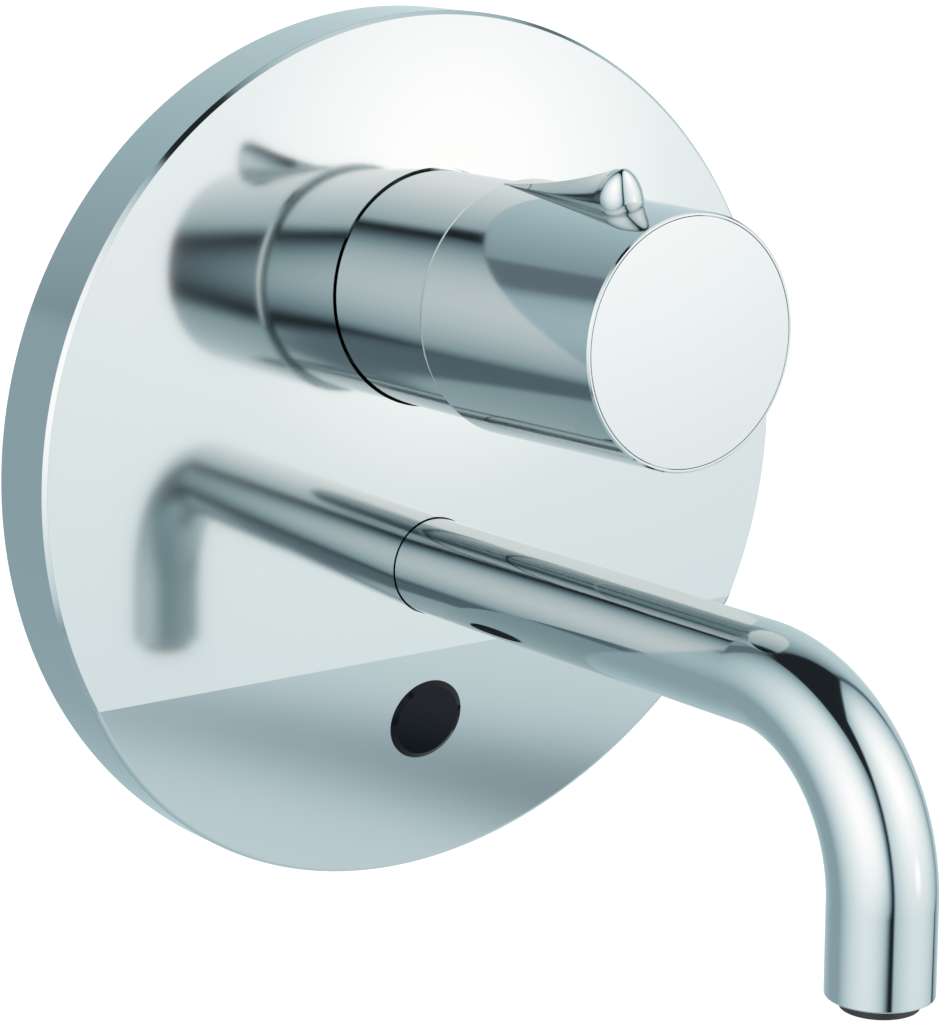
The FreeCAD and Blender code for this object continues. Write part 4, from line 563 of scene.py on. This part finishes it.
def buildTab(cfg, handle):
    head, radius, tail = cfg["head"], cfg["radius"], cfg["tail"]
    halfTip = asin(radius / (head - tail))
    arcSteps, lineSteps = cfg["arcSteps"], cfg["lineSteps"]

    def surface(side, reach):
        # the handle's own surface, from its axis
        share = reach / handle["length"]
        return sqrt((handle["rear"] + (handle["front"] - handle["rear"]) * share) ** 2 - side ** 2)

    def crest(reach):
        reach = min(reach, head) + max(0.0, reach - head) * cfg["flatten"]
        return cfg["level"] + cfg["hollow"] - sqrt(cfg["hollow"] ** 2 - (reach + cfg["lowest"]) ** 2)

    # teardrop outline: side, reach, outward normal, and the spot of the spine that belongs to it
    drop = []
    for step in range(arcSteps + 1):
        angle = -halfTip + (pi + 2 * halfTip) * step / arcSteps
        hat = (cos(angle), sin(angle))
        drop.append((radius * hat[0], head + radius * hat[1], hat, head + cfg["nose"]))
    left, right = drop[-1], drop[0]
    for start, steps in ((left, range(1, lineSteps + 1)), (right, range(lineSteps - 1, 0, -1))):
        for step in steps:
            share = step / lineSteps
            drop.append((start[0] * (1 - share), start[1] + (tail - start[1]) * share, start[2],
                         start[3] + (tail - start[3]) * share))
    count = len(drop)
    walls = [cfg["wall"] * min(1.0, (y - tail) / (head - tail)) - cfg["noseFall"] * max(0.0, y - head)
             for x, y, hat, spine in drop]
    edges = [surface(x, y) + wall for (x, y, hat, spine), wall in zip(drop, walls)]

    def topRing(u):
        # u is 0 at the sharp edge and 1 on the spine; the head is domed and the tail has plane flanks
        ring = []
        for (x, y, hat, spine), edge in zip(drop, edges):
            dome = cfg["dome"] * min(1.0, (y - tail) / (head - tail)) ** cfg["domeGrowth"]
            rise = u + (sqrt(max(0.0, 1 - (1 - u) ** 2)) - u) * dome
            ring.append(Vector((x * (1 - u), -(y + (spine - y) * u), edge + (crest(spine) - edge) * rise)))
        return ring

    def wallRing(v):
        # v is 0 at the sharp edge and 1 on the handle
        ring = []
        for (x, y, hat, spine), wall, edge in zip(drop, walls, edges):
            inset = cfg["taper"] * wall / cfg["wall"] * (1 - sqrt(1 - (v * cfg["bulge"]) ** 2))
            x, y = x - hat[0] * inset, y - hat[1] * inset
            ring.append(Vector((x, -y, edge + (surface(x, y) - edge) * v)))
        return ring

    rings = []
    for step in range(cfg["rings"] + 1):
        share = step / cfg["rings"]
        rings.append(topRing(1 - (1 - cfg["strip"]) * share ** cfg["crowding"] - cfg["strip"] * (1 - share)
                             + cfg["bevel"] * share))
    topCount = len(rings)
    rings += [wallRing(cfg["bevel"] * 2 + (1 - cfg["bevel"] * 2) * step / cfg["wallSteps"])
              for step in range(cfg["wallSteps"] + 1)]
    rings.append([spot - Vector((0, 0, cfg["sink"])) for spot in rings[-1]])
    points = [spot for ring in rings for spot in ring]
    faces, regions = [], []  # regions: 0 the top, 1 the bevel, 2 the wall, 3 inside the handle

    def mirrored(k):
        return arcSteps - k if k <= arcSteps else count - (k - arcSteps)

    # the top is closed along the spine, the bottom inside the handle
    for row, region in ((0, 0), (len(rings) - 1, 3)):
        for k in list(range(arcSteps // 2)) + list(range(arcSteps, arcSteps + lineSteps)):
            loop = [k, k + 1, mirrored(k + 1), mirrored(k)]
            loop = [row * count + v % count for n, v in enumerate(loop) if v % count not in
                    [w % count for w in loop[:n]]]
            if len(loop) > 2:
                faces.append(loop)
                regions.append(region)
    for row in range(len(rings) - 1):
        for k in range(count):
            j = (k + 1) % count
            faces.append([(row + 1) * count + j, row * count + j, row * count + k, (row + 1) * count + k])
            regions.append(0 if row < topCount - 1 else 1 if row == topCount - 1 else
                           3 if row == len(rings) - 2 else 2)
    inside = sum(points, Vector((0, 0, 0))) / len(points)
    sums = {}
    for face, region in zip(faces, regions):
        a, b, c = (points[v] for v in face[:3])
        hat = (b - a).cross(c - a)
        if len(face) > 3:
            hat += (c - a).cross(points[face[3]] - a)
        middle = (a + b + c) / 3
        if hat.dot(middle - Vector((0, middle[1], inside[2] - cfg["core"]))) < 0:
            hat = -hat
        for v in face:
            sums[(v, region)] = sums.get((v, region), Vector((0, 0, 0))) + hat
    turn = Matrix.Rotation(radians(-handle["turn"]), 4, wayFront)
    base = Vector((0, -handle["seam"], handleLevel))
    corners = []
    for face, region in zip(faces, regions):
        hats = []
        for v in face:
            # the narrow bevel takes its normals from the faces on both sides
            side = region if region != 1 else (0 if v < topCount * count else 2)
            hats.append(turn @ sums.get((v, side), sums[(v, region)]).normalized())
        corners.append(hats)
    return makePiece("gripTab", [base + turn @ spot for spot in points], faces, corners)


dress(buildTab(tabCfg, handleCfg), "handle", "chrome_handle", handleChrome, "grip_tab")
print("grip tab built")

# Spout: a bent tube with the dark aerator ring in its end.

spoutCfg = {"start": 9.0, "radius": 11.0, "bore": 9.4, "reach": 170.5, "bend": 38.0, "end": 82.5,
            "startRound": 0.3, "rimRound": 0.35, "around": 192, "bendSteps": 64}
ringCfg = {"inner": 5.2, "outer": 9.35, "lip": 8.05, "lipBore": 6.85, "top": 70.0, "seat": 82.5, "end": 85.0,
           "ledge": 76.2, "lipRound": 0.3, "around": 96}


def spoutPath(cfg):
    level = cfg["reach"] - cfg["bend"] - cfg["start"]
    arc = pi / 2 * cfg["bend"]
    side = Vector((1, 0, 0))
    middle = Vector((0, cfg["bend"] - cfg["reach"], spoutLevel - cfg["bend"]))

    def path(height):
        if height <= level:
            return Vector((0, -cfg["start"] - height, spoutLevel)), wayFront, side, Vector((0, 0, 1))
        angle = min(1.0, (height - level) / arc) * pi / 2
        up = Vector((0, -sin(angle), cos(angle)))
        way = Vector((0, -cos(angle), -sin(angle)))
        return middle + up * cfg["bend"] + way * max(0.0, height - level - arc), way, side, up

    length = level + arc + cfg["end"] + spoutLevel - cfg["bend"]
    steps = [level + arc * k / cfg["bendSteps"] for k in range(cfg["bendSteps"] + 1)]
    return path, length, steps


def buildSpout(cfg):
    path, length, stops = spoutPath(cfg)
    rows = "bore - -, radius - startRound, radius length rimRound, bore length rimRound"
    return sweep("spoutTube", profile({**cfg, "length": length}, rows), path, cfg["around"], stops)


dress(buildSpout(spoutCfg), "root", "chrome_plate", spoutChrome, "spout_tube")
ring = sweep("aeratorRing", profile(
    ringCfg, "inner top -, outer top -, outer seat -, lip seat -, lip end lipRound, lipBore end lipRound,"
    "lipBore ledge -, inner ledge -"), straight((0, -spoutCfg["reach"], 0), wayDown), ringCfg["around"])
dress(ring, "root", "black_plastic", coalPlastic, "aerator_housing")

# Sensor window.

windowCfg = {"radius": 9.75, "side": 0.15, "face": 8.45, "rise": 0.8, "plug": 7.5, "plugBack": -1.0,
             "sideRound": 0.08, "faceRound": 0.1, "around": 160}
window = sweep("sensorWindow", profile(
    windowCfg, "- plugBack -, plug plugBack -, plug - -, radius - -, radius side sideRound,"
    "face rise faceRound, - rise -", False), straight(sensorSpot, facetNormal), windowCfg["around"])
dress(window, "root", "black_window", windowBlack, "sensor_window")
print("spout and sensor built")

# Details that repeat, made with geometry nodes: screws, pipe threads and the outlet sieve. In metres.

wallScrewCfg = {
    "Span": 0.10606, "Rise": 0.10606, "Middle": (0, 0, 0), "Shank Radius": 0.0025, "Shank": 0.03,
    "Shoulder Radius": 0.00265, "Shoulder": 0.002, "Head Radius": 0.00475, "Head": 0.003,
    "Thread Depth": 0.0005, "Pitch": 0.0018, "Slot Width": 0.001, "Slot Depth": 0.0016,
}
bodyScrewCfg = {
    "Span": 0.076, "Rise": 0.017, "Middle": (0, -0.002, 0.005), "Shank Radius": 0.002, "Shank": 0.01,
    "Shoulder Radius": 0.0021, "Shoulder": 0.0003, "Head Radius": 0.0035, "Head": 0.0023,
    "Thread Depth": 0.00035, "Pitch": 0.0007, "Slot Width": 0.0008, "Slot Depth": 0.0012,
}
threadCfg = {"Radius": 0.01048, "Depth": 0.0004, "Pitch": 0.00134, "Low": 0.0587, "High": 0.0653,
             "Middle": (0, 0.027, 0.005)}
sieveCfg = {"Radius": 0.0068, "Frame": 0.0005, "Cell": 0.00145, "Wall": 0.00024, "Depth": 0.0056,
            "Plate": 0.0024, "Middle": (0, -0.1705, -0.0814), "Rows": 17}
detailCfg = {
    "headSides": 32, "shoulderSides": 24, "shankSides": 20, "threadSteps": 240, "sieveSides": 72,
    "slotReach": 1.16, "threadStart": 0.2, "threadEnd": 0.97, "rowMargin": 0.36, "sharpAngle": 34,
}


def geo(tree, kind, inputs, **settings):
    # a geometry node; gives its first output
    return addNode(tree, kind, inputs, "GeometryNode", **settings)[0]


def sizedGroup(name, sizes):
    # a geometry group with a named input for each size, and one for the material
    kinds = {int: "Int", float: "Float", tuple: "Vector"}
    inputs = [(label, kinds[type(value)], value) for label, value in sizes.items()]
    return newGroup(name, "GeometryNodeTree", inputs + [("Material", "Material", None)],
                    [("Geometry", "Geometry")])


def finishGroup(group, given, gives, pieces):
    # pieces joined and put in place, instances made real, then the material
    joined = geo(group, "JoinGeometry", {0: pieces})
    real = geo(group, "RealizeInstances", {"Geometry": joined})
    painted = geo(group, "SetMaterial", {"Geometry": real, "Material": given["Material"]})
    plug(group, painted, gives["Geometry"])
    return group


def moved(tree, geometry, **changes):
    return geo(tree, "Transform", {"Geometry": geometry, **changes})


def raised(tree, geometry, height):
    return moved(tree, geometry, Translation=addNode(tree, "CombineXYZ", {"Z": height})[0])


def barrel(tree, radius, low, high, sides):
    # a closed cylinder from low to high on the z axis
    depth = less(tree, high, low)
    body = geo(tree, "MeshCylinder", {"Vertices": sides, "Radius": radius, "Depth": depth})
    return raised(tree, body, calc(tree, "MULTIPLY_ADD", depth, 0.5, low))


def roundCurve(tree, sides, radius):
    return geo(tree, "CurvePrimitiveCircle", {"Resolution": sides, "Radius": radius})


def strip(tree, curve, width, height):
    # a rectangular section swept along a curve
    section = geo(tree, "CurvePrimitiveQuadrilateral", {"Width": width, "Height": height})
    return geo(tree, "CurveToMesh", {"Curve": curve, "Profile Curve": section})


def thread(tree, radius, depth, pitch, low, high, steps):
    # one ridge wound round the shank
    rise = less(tree, high, low)
    coil = geo(tree, "CurveSpiral", {
        "Resolution": steps, "Rotations": calc(tree, "DIVIDE", rise, pitch), "Start Radius": radius,
        "End Radius": radius, "Height": rise})
    upright = geo(tree, "SetCurveNormal", {"Curve": raised(tree, coil, low)}, mode="Z_UP")
    return geo(tree, "CurveToMesh", {
        "Curve": upright, "Profile Curve": roundCurve(tree, 4, depth), "Fill Caps": True})


def buildScrews(sizes, cfg):
    # screws on the corners of a rectangle, heads to the front, with a cross recess in each
    group, given, gives = sizedGroup("screws", sizes)
    core = less(group, given["Shank Radius"], given["Thread Depth"])
    shankEnd = times(group, given["Shank"], -1.0)
    headEnd = calc(group, "ADD", given["Shoulder"], given["Head"])
    slot, reach = given["Slot Width"], times(group, given["Head Radius"], cfg["slotReach"])
    bars = []
    for x, y in ((reach, slot), (slot, reach)):
        size = addNode(group, "CombineXYZ", {
            "X": x, "Y": y, "Z": times(group, given["Slot Depth"], 2.0)})[0]
        bars.append(raised(group, geo(group, "MeshCube", {"Size": size}), headEnd))
    head = barrel(group, given["Head Radius"], given["Shoulder"], headEnd, cfg["headSides"])
    screw = geo(group, "JoinGeometry", {0: [
        geo(group, "MeshBoolean", {0: head, 1: bars}, operation="DIFFERENCE"),
        barrel(group, given["Shoulder Radius"], 0.0, given["Shoulder"], cfg["shoulderSides"]),
        barrel(group, core, shankEnd, 0.0, cfg["shankSides"]),
        thread(group, core, given["Thread Depth"], given["Pitch"], times(group, shankEnd, cfg["threadEnd"]),
               times(group, shankEnd, cfg["threadStart"]), cfg["shankSides"])]})
    grid = geo(group, "MeshGrid", {
        "Vertices X": 2, "Vertices Y": 2, "Size X": given["Span"], "Size Y": given["Rise"]})
    placed = geo(group, "InstanceOnPoints", {"Points": grid, "Instance": screw})
    return finishGroup(group, given, gives, [
        moved(group, placed, Translation=given["Middle"], Rotation=(pi / 2, 0, 0))])


def buildThreads(sizes, cfg):
    # ridges of two opposite pipe threads on the x axis
    group, given, gives = sizedGroup("pipeThreads", sizes)
    ridge = thread(group, *(given[name] for name in ("Radius", "Depth", "Pitch", "Low", "High")),
                   cfg["threadSteps"])
    return finishGroup(group, given, gives, [
        moved(group, ridge, Rotation=(0, turn, 0), Translation=given["Middle"])
        for turn in (pi / 2, -pi / 2)])


def buildSieve(sizes, cfg):
    # honeycomb in the outlet: six-sided cells on staggered rows inside a round frame
    group, given, gives = sizedGroup("sieve", sizes)
    cell, rows, wall, depth, radius, frameWidth = (
        given[name] for name in ("Cell", "Rows", "Wall", "Depth", "Radius", "Frame"))
    rowStep, gaps = times(group, cell, sqrt(3) / 2), less(group, rows, 1.0)
    grid = geo(group, "MeshGrid", {
        "Vertices X": rows, "Vertices Y": rows, "Size X": times(group, cell, gaps),
        "Size Y": times(group, rowStep, gaps)})
    # every other row is moved by half a cell
    spot = geo(group, "InputPosition", {})
    level = addNode(group, "SeparateXYZ", {0: spot})[1]
    row = calc(group, "ROUND", calc(group, "DIVIDE", level, rowStep))
    odd = calc(group, "ABSOLUTE", calc(group, "MODULO", row, 2.0))
    shift = addNode(group, "CombineXYZ", {"X": times(group, times(group, odd, 0.5), cell)})[0]
    staggered = geo(group, "SetPosition", {"Geometry": grid, "Offset": shift})
    away = addNode(group, "VectorMath", {0: spot}, operation="LENGTH")["Value"]
    room = less(group, less(group, radius, frameWidth), times(group, cell, cfg["rowMargin"]))
    side = less(group, calc(group, "DIVIDE", cell, sqrt(3)), times(group, wall, 0.5))
    hexagon = moved(group, roundCurve(group, 6, side), Rotation=(0, 0, pi / 6))
    cells = geo(group, "InstanceOnPoints", {
        "Points": staggered, "Selection": calc(group, "LESS_THAN", away, room),
        "Instance": strip(group, hexagon, wall, depth)})
    rim = roundCurve(group, cfg["sieveSides"], calc(group, "MULTIPLY_ADD", frameWidth, -0.5, radius))
    half = times(group, depth, 0.5)
    back = barrel(group, radius, half, calc(group, "ADD", half, given["Plate"]), cfg["sieveSides"])
    return finishGroup(group, given, gives, [
        moved(group, piece, Translation=given["Middle"])
        for piece in (cells, strip(group, rim, frameWidth, depth), back)])


def bakeNodes(name, group, values):
    # runs the tree on an empty mesh and keeps the result as a plain mesh
    host = addObject(name + "Host", bpy.data.meshes.new(name + "Host"))
    modifier = host.modifiers.new("nodes", "NODES")
    modifier.node_group = group
    for item in group.interface.items_tree:
        if item.item_type == "SOCKET" and item.in_out == "INPUT" and item.name in values:
            modifier[item.identifier] = values[item.name]
    shown = host.evaluated_get(bpy.context.evaluated_depsgraph_get())
    mesh = bpy.data.meshes.new_from_object(shown)
    mesh.name = name
    host.modifiers.remove(modifier)
    bpy.data.objects.remove(host)
    return addObject(name, mesh)


def outwardFaces(piece):
    # parts made by the nodes all face outwards, with sharp edges where they turn
    work = bmesh.new()
    work.from_mesh(piece.data)
    bmesh.ops.recalc_face_normals(work, faces=work.faces)
    work.to_mesh(piece.data)
    work.free()
    piece.data.polygons.foreach_set("use_smooth", [True] * len(piece.data.polygons))
    piece.data.set_sharp_from_angle(angle=radians(detailCfg["sharpAngle"]))


screwTree = buildScrews(wallScrewCfg, detailCfg)
for name, tree, values, slot, material, replaced in (
        ("wallScrews", screwTree, wallScrewCfg, "steel", screwSteel, ["wall_screws"]),
        ("bodyScrews", screwTree, bodyScrewCfg, "steel", screwSteel, ["body_screws"]),
        ("inletThreads", buildThreads(threadCfg, detailCfg), threadCfg, "brass", castBrass, []),
        ("outletSieve", buildSieve(sieveCfg, detailCfg), sieveCfg, "black_plastic", coalPlastic,
         ["aerator_insert"])):
    piece = bakeNodes(name, tree, {**values, "Material": material})
    outwardFaces(piece)
    dress(piece, "root", slot, material, *replaced)
    print(name, len(piece.data.polygons), "faces")

# What shows as the CAD has it takes the finish of its slot.

slotOf = {part["node"]: part["material_slot"] for part in frame["record"]["subparts"]}
for name, node in frame["nodes"].items():
    node.data.materials.clear()
    node.data.materials.append(slotMaterials[slotOf[name]])

# Camera.

cameraCfg = {"place": (-0.4317, -0.6312, 0.1546), "yaw": 35.828, "pitch": -12.614, "lens": 118.69}
camera = addObject("camera", bpy.data.cameras.new("camera"))
camera.data.lens = cameraCfg["lens"]
camera.location = cameraCfg["place"]
camera.rotation_euler = (radians(90 + cameraCfg["pitch"]), 0, -radians(cameraCfg["yaw"]))
bpy.context.scene.camera = camera

# Studio: tall light panels round the object with dark gaps between them, seen by polished surfaces
# only; everything else gets one plain level of light.

panelInputs = (
    "Bearing", "Left", "Right", "Low", "High", "Left Edge", "Right Edge", "Low Edge", "High Edge",
    "Glow Side", "Glow Level", "Reach Left", "Reach Right", "Reach Low", "Reach High", "Power", "Peak")
studioCfg = {
    "panels": (
        (-93, -1.23, 2.5, -0.84, 2.2, 0.1, 0.8, 0.25, 0.1, 0.45, 0.25, 1.57, 2.3, 1.28, 1.72, 1.76, 1.3),
        (30, -1.08, 2.3, -0.7, 3.6, 0.12, 0.2, 0.016, 0.3, 0.06, 0.59, 1.63, 2.2, 1.95, 3.42, 1.42, 1.34),
        (156, -1.42, 1.28, -0.84, 2.7, 0.16, 0.1, 0.1, 0.3, -0.75, 0.65, 2.0, 2.4, 3.0, 1.7, 1.6, 0.68),
        (36, -2.0, 2.0, -2.0, 2.0, 0.1, 0.1, 0.1, 0.1, 0.0, -0.05, 0.35, 0.35, 0.35, 0.35, 2.0, 1.32),
    ),
    "gap": 0.012, "fill": 0.15, "lowFill": 0.23, "lowFrom": 0.34, "lowTo": 0.2, "roomEdge": 0.15,
    "roomTop": 0.9, "roomFade": 0.75, "floorHigh": -0.568, "floorLow": -0.588, "floorGlow": 0.55,
    "floorSide": (0.234, -0.135, 0.0), "band": 0.2, "bandHigh": -0.35, "bandLow": -0.45, "gain": 1.289,
    "softness": 0.9, "redPower": 0.35, "bluePower": -0.08, "leastRed": 0.77, "mostBlue": 1.17, "plain": 0.86,
}
floorCfg = {"level": -1.5, "radius": 60.0, "sides": 96, "lift": 0.5}


def buildPanel():
    # brightness of one panel in a direction: a flat sheet of light with a glow, cut off at its edges
    group, given, gives = newGroup("lightPanel", "ShaderNodeTree", [("Way", "Vector", None)]
                                   + [(name, "Float", 1.0) for name in panelInputs], [("Light", "Float")])
    turn = calc(group, "RADIANS", given["Bearing"])
    sine, cosine = calc(group, "SINE", turn), calc(group, "COSINE", turn)
    x, y, z = addNode(group, "SeparateXYZ", {0: given["Way"]})
    along = less(group, times(group, x, sine), times(group, y, cosine))
    across = calc(group, "ADD", times(group, x, cosine), times(group, y, sine))
    near = calc(group, "MAXIMUM", along, 0.001)
    side, level = calc(group, "DIVIDE", across, near), calc(group, "DIVIDE", z, near)
    parts = []
    for spot, middle, low, high in ((side, "Glow Side", "Reach Left", "Reach Right"),
                                    (level, "Glow Level", "Reach Low", "Reach High")):
        away = less(group, spot, given[middle])
        beyond = calc(group, "GREATER_THAN", away, 0.0)
        reach = calc(group, "MULTIPLY_ADD", less(group, given[high], given[low]), beyond, given[low])
        parts.append(calc(group, "POWER", calc(group, "ABSOLUTE", calc(group, "DIVIDE", away, reach)), 2.0))
    distance = calc(group, "POWER", calc(group, "ADD", *parts), calc(group, "DIVIDE", given["Power"], 2.0))
    light = times(group, calc(group, "EXPONENT", times(group, distance, -1.0)), given["Peak"])
    for mark, sign, spot in (("Left", 1, side), ("Right", -1, side), ("Low", 1, level), ("High", -1, level)):
        dark, lit = (calc(group, "MULTIPLY_ADD", given[mark + " Edge"], share, given[mark])
                     for share in (-sign, sign))
        light = times(group, light, between(group, dark, lit, spot))
    plug(group, times(group, light, between(group, 0.0, 0.05, along)), gives["Light"])
    return group


def buildStudio(cfg):
    world = bpy.data.worlds.new("studio")
    bpy.context.scene.world = world
    world.use_nodes = True
    tree = world.node_tree
    panel = buildPanel()
    way = addNode(tree, "TexCoord")["Generated"]
    _, depth, height = addNode(tree, "SeparateXYZ", {0: way})
    # a dim room behind the wall side, a little lighter low down
    lower = calc(tree, "MULTIPLY_ADD", between(tree, cfg["lowFrom"], cfg["lowTo"], height), cfg["lowFill"],
                 cfg["fill"])
    behind = times(tree, between(tree, 0.0, cfg["roomEdge"], depth),
                   between(tree, cfg["roomTop"], cfg["roomFade"], height))
    light = calc(tree, "MAXIMUM", times(tree, lower, behind), cfg["gap"])
    for values in cfg["panels"]:
        shown = addNode(tree, "Group", {"Way": way, **dict(zip(panelInputs, values))}, node_tree=panel)
        light = calc(tree, "MAXIMUM", shown["Light"], light)
    # the pale floor below, past a darker band
    band = times(tree, between(tree, cfg["bandHigh"], cfg["bandLow"], height), cfg["band"])
    slant = addNode(tree, "VectorMath", {0: way, 1: cfg["floorSide"]}, operation="DOT_PRODUCT")["Value"]
    ground = times(tree, between(tree, cfg["floorHigh"], cfg["floorLow"], height),
                   calc(tree, "ADD", slant, cfg["floorGlow"]))
    light = calc(tree, "MAXIMUM", light, calc(tree, "MAXIMUM", band, ground))
    # the dimmer the light, the cooler its colour
    strength = times(tree, calc(tree, "POWER", light, cfg["softness"]), cfg["gain"])
    red = calc(tree, "MAXIMUM", calc(tree, "POWER", light, cfg["redPower"]), cfg["leastRed"])
    blue = calc(tree, "MINIMUM", calc(tree, "POWER", light, cfg["bluePower"]), cfg["mostBlue"])
    colour = addNode(tree, "CombineColor", {
        index: times(tree, strength, share) for index, share in enumerate((red, 1.0, blue))})[0]
    background = tree.nodes["Background"]
    plug(tree, colour, background.inputs["Color"])
    paths = addNode(tree, "LightPath")
    white = calc(tree, "MAXIMUM", paths["Is Camera Ray"], paths["Is Transmission Ray"])
    plain = addNode(tree, "Background", {
        "Strength": calc(tree, "MULTIPLY_ADD", white, 1 - cfg["plain"], cfg["plain"])})[0]
    mix = addNode(tree, "MixShader", {0: paths["Is Glossy Ray"], 1: plain, 2: background.outputs[0]})[0]
    plug(tree, mix, tree.nodes["World Output"].inputs[0])


def buildFloor(cfg):
    radius, level, count = cfg["radius"], cfg["level"], cfg["sides"]
    mesh = bpy.data.meshes.new("floor")
    mesh.from_pydata([(0, 0, level)] + [(radius * c, radius * s, level) for c, s in circle(count)], [],
                     [(0, 1 + k, 1 + (k + 1) % count) for k in range(count)])
    floor = addObject("floor", mesh)
    mesh.materials.append(paleFloor)
    tree = paleFloor.node_tree
    seen = addNode(tree, "LightPath")["Is Camera Ray"]
    lift = addNode(tree, "Emission", {"Strength": times(tree, seen, cfg["lift"])})[0]
    both = addNode(tree, "AddShader", {0: tree.nodes["Principled BSDF"].outputs[0], 1: lift})[0]
    plug(tree, both, tree.nodes["Material Output"].inputs[0])
    floor.visible_glossy = False  # polished surfaces see the floor in the world's lower part


buildStudio(studioCfg)
buildFloor(floorCfg)
bpy.context.scene.view_settings.view_transform = "Standard"
print("studio built")
